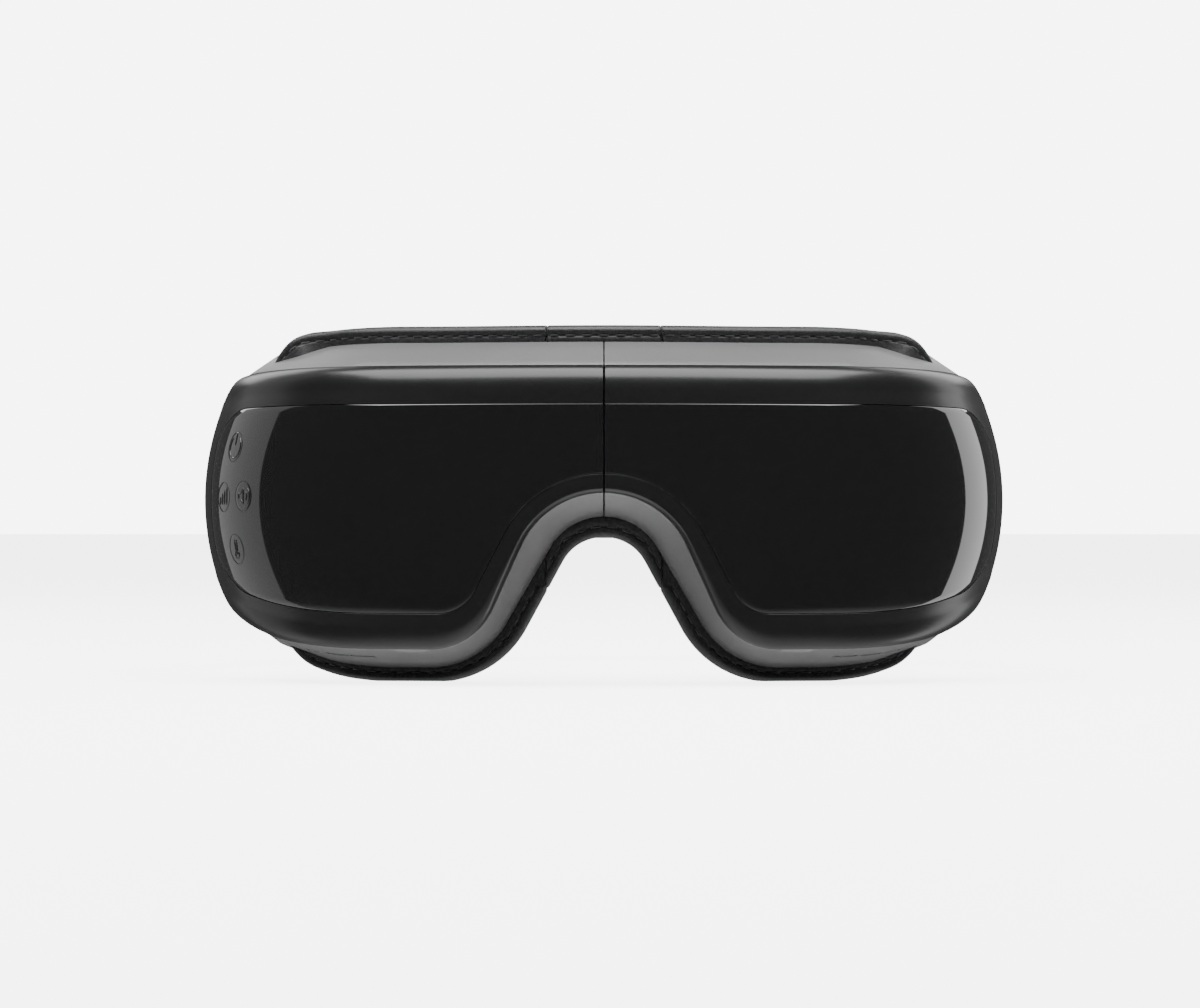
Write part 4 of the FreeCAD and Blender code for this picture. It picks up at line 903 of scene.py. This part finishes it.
def stitches(seams, pitch=3.8, length=2.5, radius=0.24, closed=True):
    """Thread laid in dashes along a seam. Each seam point comes with a point out along its normal."""
    line = seams + seams[:1] if closed else seams
    lengths = [0.0]
    for (a, _), (b, _) in zip(line, line[1:]):
        lengths.append(lengths[-1] + (Vector(b) - Vector(a)).length)
    total = lengths[-1]
    count = int(total / pitch)

    def on(distance):
        i = 0
        while i < len(lengths) - 2 and lengths[i + 1] < distance:
            i += 1
        t = (distance - lengths[i]) / max(1e-9, lengths[i + 1] - lengths[i])
        point = Vector(line[i][0]).lerp(Vector(line[i + 1][0]), t)
        out = Vector(line[i][1]).lerp(Vector(line[i + 1][1]), t) - point
        return point, out.normalized()

    points, faces, steps = [], [], 6
    for k in range(count):
        middle = (k + 0.5) * total / count
        base = len(points)
        path = ((-0.5, -0.16, 0.4), (-0.38, 0.05, 0.95), (0.0, 0.12, 1.0), (0.38, 0.05, 0.95), (0.5, -0.16, 0.4))
        for f, lift, size in path:
            point, out = on(min(max(middle + f * length, 0.0), total))
            ahead, _ = on(min(middle + f * length + 0.2, total))
            along = (ahead - point).normalized() if (ahead - point).length > 1e-6 else Vector((1, 0, 0))
            across = along.cross(out).normalized()
            for n in range(steps):
                t = 2 * math.pi * n / steps
                points.append(tuple(point + out * (lift + radius * size * math.sin(t))
                                    + across * (radius * size * math.cos(t))))
        for i in range(4):
            for n in range(steps):
                b = (n + 1) % steps
                faces.append((base + i * steps + n, base + i * steps + b, base + (i + 1) * steps + b,
                              base + (i + 1) * steps + n))
        faces.append(tuple(base + n for n in range(steps)))
        faces.append(tuple(base + 4 * steps + n for n in range(steps)))
    return points, faces


pad_rows, pad_seams = pad_sections()
for half, side in HALVES:
    points, faces = ring(pad_rows)
    pad = new_piece("pad_" + half, mirrored(points, side), faces, leather_finish, 70)
    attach(pad, half + "_half")
    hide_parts("face_gasket_" + half)
    points, faces = stitches(pad_seams, closed=False)
    sewing = new_piece("pad_stitches_" + half, mirrored(points, side), faces, thread_finish, 60)
    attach(sewing, half + "_half")

# ================================================================ nose bridge pad
# The leather carries on across the fold over the nose in one soft strip, so that the two rings read as one.
# It stands clear of the hinge that it hides.
BRIDGE_END = 16.65


def bridge_low(s):
    return arch_height(spot(s, 0, rear_depth(s) + 5)[0], PAD_ARCH)


def bridge_row(s, drawn):
    """A closed section at s, right of the seam where s is negative."""
    reach = abs(s)
    low, top, base = bridge_low(reach) + drawn, PAD_TOP - drawn, rear_depth(reach)
    steep = math.hypot(1.0, (bridge_low(reach + 0.3) - bridge_low(max(0.0, reach - 0.3))) / 0.6)
    front = ((0.0, 2.8), (0.1, 1.5), (0.45, 0.45), (1.1, -0.22), (1.8, -0.28), (2.35, 0.12), (2.62, 0.42), (2.9, 0.1),
             (3.6, 0.03), (4.9, 0.05), (6.2, 2.2), (7.2, 5.5))
    back = ((7.0, 9.0), (3.0, 9.05), (1.4, 8.3), (0.45, 6.9), (0.05, 5.0))
    line = [(low + z * steep, d) for z, d in front] + [(top - z, d) for z, d in front[::-1]]
    line += [(top - z, d) for z, d in back[::-1]] + [(mix(top - 7, low + 7 * steep, k / 8), 9.0) for k in range(1, 8)]
    line += [(low + z * steep, d) for z, d in back]
    made = []
    for z, d in line:
        x, y, up = spot(reach, z, base + d + (drawn if d < 1 else -drawn if d > 8 else 0.0))
        made.append((x if s >= 0 else -x, y, up))
    return made


bridge_run = stations(-BRIDGE_END, BRIDGE_END, 0.8, 0.8, 0.8)
points, faces = sweep([bridge_row(s, drawn) for s, drawn in bridge_run])
bridge = new_piece("nose_bridge_pad", points, faces, leather_finish, 70)
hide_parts("gasket_bridge")
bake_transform(bridge)


def bridge_seam(top):
    made = []
    for s, _ in bridge_run:
        reach = abs(s)
        steep = math.hypot(1.0, (bridge_low(reach + 0.3) - bridge_low(max(0.0, reach - 0.3))) / 0.6)
        z = PAD_TOP - 2.62 if top else bridge_low(reach) + 2.62 * steep
        ends = []
        for d in (0.12, -1.0):
            x, y, up = spot(reach, z, rear_depth(reach) + d)
            ends.append((x if s >= 0 else -x, y, up))
        made.append(tuple(ends))
    return made


for top in (True, False):
    points, faces = stitches(bridge_seam(top), closed=False)
    sewing = new_piece("bridge_stitches_" + ("top" if top else "low"), points, faces, thread_finish, 60)
    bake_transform(sewing)

# ================================================================ eye cushions
# A crowned foam pad in fine stretch cloth covers each warming plate. It is sewn round its rim and moves
# with the plate as the air cushion behind it fills.
CUSHION_NEAR = 26.65


def woven(name, colour, light, roughness, threads, strength):
    """Cloth from two crossed sets of fine threads, laid in the x-z plane, with a soft sheen."""
    made, shader = material(name, colour, roughness, Sheen_Weight=0.25, Sheen_Roughness=0.5)
    tree = made.node_tree
    place = node(tree, "ShaderNodeTexCoord")
    warp = node(tree, "ShaderNodeTexWave", {"Scale": threads, "Distortion": 0.6, "Detail": 1.0},
                bands_direction="DIAGONAL")
    weft = node(tree, "ShaderNodeTexWave", {"Scale": threads, "Distortion": 0.6, "Detail": 1.0}, bands_direction="Z")
    over = node(tree, "ShaderNodeMath", operation="MULTIPLY")
    patch = node(tree, "ShaderNodeTexNoise", {"Scale": 60.0, "Detail": 3.0})
    tint = node(tree, "ShaderNodeMix", data_type="RGBA")
    tint.inputs["A"].default_value = (*colour, 1.0)
    tint.inputs["B"].default_value = (*light, 1.0)
    rough = node(tree, "ShaderNodeMapRange", {"To Min": roughness - 0.1, "To Max": roughness + 0.1})
    bump = node(tree, "ShaderNodeBump", {"Strength": strength, "Distance": 0.0001})
    for texture in (warp, weft, patch):
        tree.links.new(place.outputs["Object"], texture.inputs["Vector"])
    tree.links.new(warp.outputs["Fac"], over.inputs[0])
    tree.links.new(weft.outputs["Fac"], over.inputs[1])
    tree.links.new(over.outputs["Value"], tint.inputs["Factor"])
    tree.links.new(tint.outputs["Result"], shader.inputs["Base Color"])
    tree.links.new(patch.outputs["Fac"], rough.inputs["Value"])
    tree.links.new(rough.outputs["Result"], shader.inputs["Roughness"])
    tree.links.new(over.outputs["Value"], bump.inputs["Height"])
    tree.links.new(bump.outputs["Normal"], shader.inputs["Normal"])
    return made


cushion_finish = woven("cushion_cloth", (0.016, 0.016, 0.018), (0.045, 0.045, 0.048), 0.75, 900.0, 0.5)
CUSHION_RINGS = ((0.5, 0.0), (0.88, 0.0), (0.965, 0.35), (0.99, 1.3), (0.985, 2.5), (0.96, 3.3), (0.965, 3.7),
                 (0.975, 4.4), (0.955, 5.4), (0.90, 6.3), (0.80, 6.95), (0.66, 7.3), (0.48, 7.5), (0.3, 7.58),
                 (0.12, 7.6))


def cushion_mesh():
    """Crowned pad in the eye's own axes, with a sewn rim."""
    steps, points, faces = 72, [], []
    for scale, height in CUSHION_RINGS:
        for k in range(steps):
            x, z = soft_square(2 * math.pi * k / steps, 22.0, 21.0, 3.2)
            points.append(eye_point(x * scale, CUSHION_NEAR + height, z * scale))
    for i in range(len(CUSHION_RINGS) - 1):
        for k in range(steps):
            b = (k + 1) % steps
            faces.append((i * steps + k, i * steps + b, (i + 1) * steps + b, (i + 1) * steps + k))
    faces.append(tuple(range(steps)))
    faces.append(tuple((len(CUSHION_RINGS) - 1) * steps + k for k in range(steps)))
    return points, faces


cushion_seam = []
for k in range(72):
    x, z = soft_square(2 * math.pi * k / 72, 22.0 * 0.962, 21.0 * 0.962, 3.2)
    x2, z2 = soft_square(2 * math.pi * k / 72, 23.0, 22.0, 3.2)
    cushion_seam.append((eye_point(x, CUSHION_NEAR + 3.5, z), eye_point(x2, CUSHION_NEAR + 3.9, z2)))
for half, side in HALVES:
    points, faces = cushion_mesh()
    cushion = new_piece("eye_pad_" + half, mirrored(points, side), faces, cushion_finish, 70)
    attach(cushion, "eye_carriage_" + half)
    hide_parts("eye_cushion_" + half)
    points, faces = stitches(cushion_seam, 2.6, 1.8, 0.16)
    sewing = new_piece("eye_pad_stitches_" + half, mirrored(points, side), faces, thread_finish, 60)
    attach(sewing, "eye_carriage_" + half)

# ================================================================ strap
# Elastic webbing, 30 mm wide, runs round the head. Each end passes round the bar of its anchor and is sewn
# back on itself with a box of stitches.
PLY, BAND_THICK, STITCHED = 1.15, 1.5, 38.0
STRAP_MID = (ANCHOR_NEAR + ANCHOR_FAR) / 2
strap_x, strap_y, _ = spot(LENGTH, 0, STRAP_MID)
TANGENT = (math.cos(TEMPLE_TURN), math.sin(TEMPLE_TURN))
arc_start = (strap_x + TANGENT[0] * STITCHED, strap_y + TANGENT[1] * STITCHED)
ARC_RADIUS = arc_start[0] / math.sin(TEMPLE_TURN)
ARC_CENTRE_Y = arc_start[1] + ARC_RADIUS * math.cos(TEMPLE_TURN)


def end_point(x, d):
    """A point of the strap's end, x behind the temple end and d deep."""
    x0, y0, _ = spot(LENGTH, 0, d)
    return (x0 + x * TANGENT[0], y0 + x * TANGENT[1])


def strap_path():
    """Middle line of the webbing as (x, y, thickness), from the sewn end on the left to the one on the right."""
    near, far = ANCHOR_NEAR - 0.35 - PLY / 2, ANCHOR_FAR + 0.35 + PLY / 2
    loop = [(STITCHED, STRAP_MID + 0.62), (30.0, STRAP_MID + 0.62), (22.0, STRAP_MID + 0.62),
            (15.0, STRAP_MID + 0.65), (13.0, STRAP_MID + 0.95), (11.2, far - 0.35), (9.9, far - 0.05),
            (8.6, far), (7.5, far - 0.15), (6.7, far - 0.7),
            (6.45, STRAP_MID + 0.8), (6.45, STRAP_MID - 0.8), (6.7, near + 0.7), (7.5, near + 0.15), (8.6, near),
            (9.9, near + 0.05), (11.2, near + 0.35), (13.0, STRAP_MID - 0.95), (15.0, STRAP_MID - 0.65),
            (22.0, STRAP_MID - 0.62), (30.0, STRAP_MID - 0.62), (36.0, STRAP_MID - 0.62)]
    left = [(*end_point(x, d), PLY) for x, d in loop]
    left.append((*end_point(39.5, STRAP_MID - 0.5), mix(PLY, BAND_THICK, 0.4)))
    arc = []
    for k in range(1, 120):
        a = mix(TEMPLE_TURN + 0.02, 2 * math.pi - TEMPLE_TURN - 0.02, k / 120)
        arc.append((ARC_RADIUS * math.sin(a), ARC_CENTRE_Y - ARC_RADIUS * math.cos(a), BAND_THICK))
    return left, arc


def webbing():
    """Elastic webbing: fine ribs along the strap crossed by the weft, brushed by a little fuzz."""
    made, shader = material("strap_webbing", (0.02, 0.02, 0.022), 0.8, Sheen_Weight=0.3, Sheen_Roughness=0.5)
    tree = made.node_tree
    place = node(tree, "ShaderNodeUVMap", uv_map="weave")
    ribs = node(tree, "ShaderNodeTexWave", {"Scale": 0.32, "Distortion": 0.3}, bands_direction="Y")
    weft = node(tree, "ShaderNodeTexWave", {"Scale": 0.5, "Distortion": 0.4}, bands_direction="X")
    over = node(tree, "ShaderNodeMath", operation="MULTIPLY")
    fuzz = node(tree, "ShaderNodeTexNoise", {"Scale": 1.2, "Detail": 4.0})
    tint = node(tree, "ShaderNodeMix", data_type="RGBA")
    tint.inputs["A"].default_value = (0.009, 0.009, 0.010, 1.0)
    tint.inputs["B"].default_value = (0.042, 0.042, 0.045, 1.0)
    rough = node(tree, "ShaderNodeMapRange", {"To Min": 0.65, "To Max": 0.92})
    bump = node(tree, "ShaderNodeBump", {"Strength": 0.8, "Distance": 0.00018})
    for texture in (ribs, weft, fuzz):
        tree.links.new(place.outputs["UV"], texture.inputs["Vector"])
    tree.links.new(ribs.outputs["Fac"], over.inputs[0])
    tree.links.new(weft.outputs["Fac"], over.inputs[1])
    tree.links.new(over.outputs["Value"], tint.inputs["Factor"])
    tree.links.new(tint.outputs["Result"], shader.inputs["Base Color"])
    tree.links.new(fuzz.outputs["Fac"], rough.inputs["Value"])
    tree.links.new(rough.outputs["Result"], shader.inputs["Roughness"])
    tree.links.new(over.outputs["Value"], bump.inputs["Height"])
    tree.links.new(bump.outputs["Normal"], shader.inputs["Normal"])
    return made


def strap_rows(path):
    """Closed rows of a band of webbing along a path seen from above, with ribbed faces and rounded edges."""
    rows = []
    for i, (x, y, thick) in enumerate(path):
        x0, y0 = path[max(i - 1, 0)][:2]
        x1, y1 = path[min(i + 1, len(path) - 1)][:2]
        run = math.hypot(x1 - x0, y1 - y0)
        nx, ny = -(y1 - y0) / run, (x1 - x0) / run
        line = []
        for face in (1, -1):
            for k in range(21):
                up = mix(-STRAP_HALF, STRAP_HALF, k / 20) * face
                edge = min(1.0, (STRAP_HALF - abs(up)) / 0.9 + 0.35)
                rib = 0.0 if k % 2 else 0.05
                half = (thick / 2) * edge - rib
                line.append((x + nx * half * face, y + ny * half * face, STRAP_Z + up))
        rows.append(line)
    return rows


def add_weave(piece, rows):
    """Lays a map in millimetres on the webbing: along the strap and across it."""
    places = {}
    run = 0.0
    for i, row in enumerate(rows):
        if i:
            run += (Vector(row[0]) - Vector(rows[i - 1][0])).length
        for point in row:
            key = (round(point[0], 2), round(point[1] + FRONT, 2), round(point[2], 2))
            places[key] = (run, point[2])
    uv = piece.data.uv_layers.new(name="weave")
    for corner in piece.data.loops:
        co = piece.data.vertices[corner.vertex_index].co / MM
        uv.data[corner.index].uv = places.get((round(co.x, 2), round(co.y, 2), round(co.z, 2)), (co.x + co.y, co.z))


webbing_finish = webbing()
left_end, head_arc = strap_path()
right_end = [(-x, y, thick) for x, y, thick in left_end[::-1]]
rows = strap_rows(left_end + head_arc + right_end)
points, faces = sweep(rows)
strap = new_piece("head_strap", points, faces, webbing_finish, 50)
add_weave(strap, rows)
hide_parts("strap")
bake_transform(strap)


def box_stitch():
    """Seam points of the sewn box with its cross, on the outer face of the doubled part."""
    corners = ((33.0, -12.0), (17.5, -12.0), (17.5, 12.0), (33.0, 12.0), (33.0, -12.0), (17.5, 12.0), (33.0, 12.0),
               (17.5, -12.0))
    d = STRAP_MID - 0.62 - PLY / 2
    made = []
    for (x0, z0), (x1, z1) in zip(corners, corners[1:]):
        for k in range(8):
            x, z = mix(x0, x1, k / 8) + 4.0, mix(z0, z1, k / 8)
            made.append(((*end_point(x, d + 0.05), STRAP_Z + z), (*end_point(x, d - 1), STRAP_Z + z)))
    return made


for half, side in HALVES:
    points, faces = stitches(box_stitch(), 2.6, 1.9, 0.2, closed=False)
    sewing = new_piece("strap_stitches_" + half, mirrored(points, side), faces, thread_finish, 60)
    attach(sewing, half + "_half")

# ================================================================ strap slider
# A moulded sleeve keeps the doubled webbing flat and slides on it.
plastic_finish = grained("matt_plastic", (0.016, 0.016, 0.017), (0.022, 0.022, 0.023), 0.52, 0.0, 2600.0, 0.25)
SLIDER_AT, SLIDER_LENGTH = 15.5, 9.0


def oblong(half_d, half_z, corner):
    """A rounded oblong across the strap as (d, z) points."""
    made = []
    for cx, cz, start in ((1, 1, 0), (-1, 1, 90), (-1, -1, 180), (1, -1, 270)):
        for k in range(7):
            t = math.radians(start + 15 * k)
            made.append((cx * (half_d - corner) + corner * math.cos(t),
                         cz * (half_z - corner) + corner * math.sin(t)))
    return made


outside, inside = oblong(2.5, 17.5, 1.6), oblong(1.5, 15.3, 0.5)
sleeve = []
for (od, oz), (nd, nz) in zip(outside, inside):
    section = []
    for x, f in ((0.35, 0.0), (0.0, 0.2), (0.0, 0.8), (0.35, 1.0), (SLIDER_LENGTH - 0.35, 1.0), (SLIDER_LENGTH, 0.8),
                 (SLIDER_LENGTH, 0.2), (SLIDER_LENGTH - 0.35, 0.0)):
        d, z = mix(nd, od, f), mix(nz, oz, f)
        waist = 0.25 * math.sin(math.pi * x / SLIDER_LENGTH) if f == 1.0 else 0.0
        section.append((*end_point(SLIDER_AT + x, STRAP_MID + d - math.copysign(waist, d)), STRAP_Z + z))
    sleeve.append(section)
points, faces = ring(sleeve)
slider = new_piece("strap_sleeve", mirrored(points, -1), faces, plastic_finish, 40)
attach(slider, "slider")
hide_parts("strap_slider")

# ================================================================ air tube and ribbon cable
# A silicone air tube and a flat amber ribbon cross behind the seam.


def crossing(height, half_z, half_d):
    """Closed rows of a line that leaves one half, passes behind the hinge plane and enters the other."""
    x, y0, y1, r = 5.5, 22.0, 29.4, 2.0
    path = [(-x, mix(y0, y1 - r, k / 6)) for k in range(6)]
    path += [(-x + r - r * math.cos(t), y1 - r + r * math.sin(t)) for t in
             [math.radians(90 * k / 8) for k in range(9)]]
    path += [(mix(-x + r, x - r, k / 12), y1) for k in range(1, 12)]
    path += [(-a, b) for a, b in path[14::-1]]
    rows = []
    for i, (px, py) in enumerate(path):
        ax, ay = path[max(i - 1, 0)]
        bx, by = path[min(i + 1, len(path) - 1)]
        run = math.hypot(bx - ax, by - ay)
        nx, ny = -(by - ay) / run, (bx - ax) / run
        row = []
        for k in range(16):
            t = 2 * math.pi * k / 16
            across, up = half_d * math.cos(t), half_z * math.sin(t)
            if half_z > 2 * half_d:
                across = math.copysign(half_d * min(1.0, abs(3 * math.cos(t))), math.cos(t))
            row.append((px + nx * across, py + ny * across, height + up))
        rows.append(row)
    return rows


tube_finish = grained("silicone_tube", (0.62, 0.62, 0.60), (0.70, 0.70, 0.68), 0.38, 0.0, 700.0, 0.1,
                      Subsurface_Weight=0.2)
ribbon_finish = grained("amber_ribbon", (0.40, 0.17, 0.03), (0.50, 0.23, 0.05), 0.25, 0.0, 500.0, 0.1,
                        Coat_Weight=0.5)
for name, cad, height, half_z, half_d, finish, slot in (
        ("air_tube", "link_tube", 78.2, 1.1, 1.1, tube_finish, "tube_silicone"),
        ("ribbon_cable", "link_cable", 46.5, 2.2, 0.2, ribbon_finish, "ribbon_amber")):
    points, faces = sweep(crossing(height, half_z, half_d))
    line = new_piece(name, points, faces, finish, 45)
    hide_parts(cad)
    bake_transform(line)

# ================================================================ parts kept from the CAD model
# Rear covers, hinge, anchors, plates, fans, boards and motors keep their CAD shape. Each gets its own finish,
# and moulded or machined edges are eased where light would catch them.
steel_finish = grained("bright_steel", (0.52, 0.52, 0.54), (0.62, 0.62, 0.64), 0.24, 1.0, 1800.0, 0.15)
can_finish = grained("drawn_can", (0.55, 0.55, 0.57), (0.63, 0.63, 0.65), 0.32, 1.0, 900.0, 0.2)
plate_finish = grained("anodised_plate", (0.70, 0.70, 0.72), (0.78, 0.78, 0.80), 0.36, 1.0, 3000.0, 0.2)
sink_finish = grained("extruded_sink", (0.62, 0.63, 0.65), (0.72, 0.73, 0.75), 0.42, 1.0, 1200.0, 0.3)
tile_finish = grained("white_tile", (0.78, 0.78, 0.75), (0.88, 0.88, 0.86), 0.45, 0.0, 2000.0, 0.1)
film_finish = grained("air_film", (0.62, 0.61, 0.57), (0.70, 0.69, 0.65), 0.35, 0.0, 300.0, 0.5,
                      Subsurface_Weight=0.3)
board_finish = grained("green_board", (0.012, 0.085, 0.035), (0.02, 0.13, 0.055), 0.35, 0.0, 1500.0, 0.3,
                       Coat_Weight=0.4)
chip_finish = grained("moulded_chip", (0.016, 0.016, 0.016), (0.026, 0.026, 0.026), 0.6, 0.0, 3500.0, 0.3)
foil_finish = grained("cell_foil", (0.58, 0.58, 0.60), (0.68, 0.68, 0.70), 0.3, 1.0, 150.0, 0.4)
dark_finish = grained("dark_plastic", (0.02, 0.02, 0.021), (0.028, 0.028, 0.029), 0.58, 0.0, 2200.0, 0.3)
KEPT = (
    (plastic_finish, "black_plastic", 0.25, ("rear_cover_left", "rear_cover_right")),
    (plastic_finish, "black_plastic", 0.3, ("strap_anchor_left", "strap_anchor_right")),
    (dark_finish, "black_plastic", 0.0, ("airbag_tray_left", "airbag_tray_right", "fan_frame_left", "fan_frame_right",
                                         "fan_rotor_left", "fan_rotor_right", "air_valve")),
    (steel_finish, "steel", 0.2, ("hinge_leaf_left", "hinge_leaf_right", "hinge_pin")),
    (steel_finish, "steel", 0.08, ("hinge_screws_left", "hinge_screws_right",
                                   "case_screws_left", "case_screws_right")),
    (can_finish, "can_steel", 0.0, ("vibration_motor_left", "vibration_motor_right", "air_pump", "motor_weight_left",
                                    "motor_weight_right", "pump_crank", "valve_plunger")),
    (plate_finish, "plate_metal", 0.0, ("massage_plate_left", "massage_plate_right")),
    (sink_finish, "sink_metal", 0.0, ("heat_sink_left", "heat_sink_right")),
    (tile_finish, "ceramic_white", 0.0, ("thermo_module_left", "thermo_module_right")),
    (film_finish, "airbag_film", 0.0, ("airbag_left", "airbag_right")),
    (board_finish, "board_green", 0.0, ("main_board", "key_board")),
    (chip_finish, "chip_black", 0.0, ("board_chips", "key_switches", "speaker_left", "speaker_right")),
    (foil_finish, "cell_foil", 0.0, ("battery",)),
)
for finish, slot, ease_by, names in KEPT:
    for name in names:
        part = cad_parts[name]
        part.data.materials.clear()
        part.data.materials.append(finish)
        if ease_by:
            weld = part.modifiers.new("weld", "WELD")
            weld.merge_threshold = 1e-6
            bevel = part.modifiers.new("eased_edges", "BEVEL")
            bevel.width, bevel.segments, bevel.limit_method = ease_by * MM, 2, "ANGLE"
            bevel.angle_limit = math.radians(50)
            bevel.use_clamp_overlap = True

# ================================================================ floor, light and camera
# A plain pale table, a soft light over the brow, a tall soft panel at each temple and the camera straight ahead.
floor_mesh = bpy.data.meshes.new("floor")
floor_mesh.from_pydata([(-6, -6, -0.0002), (6, -6, -0.0002), (6, 6, -0.0002), (-6, 6, -0.0002)], [], [(0, 1, 2, 3)])
table = bpy.data.objects.new("floor", floor_mesh)
bpy.context.scene.collection.objects.link(table)
table.visible_glossy = False
table.visible_shadow = False
table_finish, table_shader = material("pale_table", (0.86, 0.86, 0.86), 0.7)
tree = table_finish.node_tree
table_noise = node(tree, "ShaderNodeTexNoise", {"Scale": 3.0, "Detail": 2.0})
table_rough = node(tree, "ShaderNodeMapRange", {"To Min": 0.62, "To Max": 0.78})
tree.links.new(table_noise.outputs["Fac"], table_rough.inputs["Value"])
tree.links.new(table_rough.outputs["Result"], table_shader.inputs["Roughness"])
glow = node(tree, "ShaderNodeEmission", {"Color": (1.0, 1.0, 1.0, 1.0), "Strength": 4.6})
unlit = node(tree, "ShaderNodeEmission", {"Color": (0.0, 0.0, 0.0, 1.0), "Strength": 0.0})
seen_from = node(tree, "ShaderNodeLightPath")
choose = node(tree, "ShaderNodeMixShader")
together = node(tree, "ShaderNodeAddShader")
tree.links.new(seen_from.outputs["Is Camera Ray"], choose.inputs["Fac"])
tree.links.new(unlit.outputs["Emission"], choose.inputs[1])
tree.links.new(glow.outputs["Emission"], choose.inputs[2])
tree.links.new(table_shader.outputs["BSDF"], together.inputs[0])
tree.links.new(choose.outputs["Shader"], together.inputs[1])
tree.links.new(together.outputs["Shader"], tree.nodes["Material Output"].inputs["Surface"])
floor_mesh.materials.append(table_finish)


def soft_panel(name, place, target, width, height, power):
    light = bpy.data.lights.new(name, "AREA")
    light.shape, light.size, light.size_y, light.energy = "RECTANGLE", width, height, power
    lamp = bpy.data.objects.new(name, light)
    lamp.location = place
    lamp.visible_camera = False
    lamp.rotation_euler = (Vector(target) - Vector(place)).to_track_quat("-Z", "Y").to_euler()
    bpy.context.scene.collection.objects.link(lamp)
    return lamp


centre = Vector((0.0, -0.05, 0.045))
soft_panel("brow_light", (0.0, -0.30, 1.0), centre, 1.5, 1.0, 34.0)
soft_panel("rear_right_panel", (-0.55, 0.72, 0.62), centre, 0.5, 0.5, 2.2)
soft_panel("rear_left_panel", (0.55, 0.72, 0.62), centre, 0.5, 0.5, 2.2)
soft_panel("right_panel", (-0.72, 0.26, 0.045), centre, 0.50, 1.5, 1.1)
soft_panel("left_panel", (0.72, 0.34, 0.045), centre, 0.30, 1.5, 2.4)
world = bpy.data.worlds.new("studio")
world.use_nodes = True
bpy.context.scene.world = world
air = world.node_tree
backdrop = air.nodes["Background"]
backdrop.inputs["Color"].default_value = (1.0, 1.0, 1.0, 1.0)
backdrop.inputs["Strength"].default_value = 0.30
seen = node(air, "ShaderNodeBackground", {"Color": (1.0, 1.0, 1.0, 1.0), "Strength": 7.0})
mirrored_air = node(air, "ShaderNodeBackground", {"Color": (1.0, 1.0, 1.0, 1.0)})
towards = node(air, "ShaderNodeTexCoord")
height = node(air, "ShaderNodeSeparateXYZ")
under = node(air, "ShaderNodeMapRange", {"From Min": -0.35, "From Max": -1.0, "To Min": 0.10, "To Max": 1.1},
             interpolation_type="SMOOTHSTEP")
air.links.new(towards.outputs["Generated"], height.inputs["Vector"])
air.links.new(height.outputs["Z"], under.inputs["Value"])
air.links.new(under.outputs["Result"], mirrored_air.inputs["Strength"])
path = node(air, "ShaderNodeLightPath")
pick = node(air, "ShaderNodeMixShader")
pick_glossy = node(air, "ShaderNodeMixShader")
air.links.new(path.outputs["Is Glossy Ray"], pick_glossy.inputs["Fac"])
air.links.new(backdrop.outputs["Background"], pick_glossy.inputs[1])
air.links.new(mirrored_air.outputs["Background"], pick_glossy.inputs[2])
air.links.new(path.outputs["Is Camera Ray"], pick.inputs["Fac"])
air.links.new(pick_glossy.outputs["Shader"], pick.inputs[1])
air.links.new(seen.outputs["Background"], pick.inputs[2])
air.links.new(pick.outputs["Shader"], air.nodes["World Output"].inputs["Surface"])

camera_data = bpy.data.cameras.new("camera")
camera_data.lens, camera_data.sensor_width = 148.8, 36.0
camera = bpy.data.objects.new("camera", camera_data)
camera.location = (-0.00097, cad_low.y - 1.2, 0.04425)
camera.rotation_euler = (math.radians(90), 0, 0)
bpy.context.scene.collection.objects.link(camera)
bpy.context.scene.camera = camera
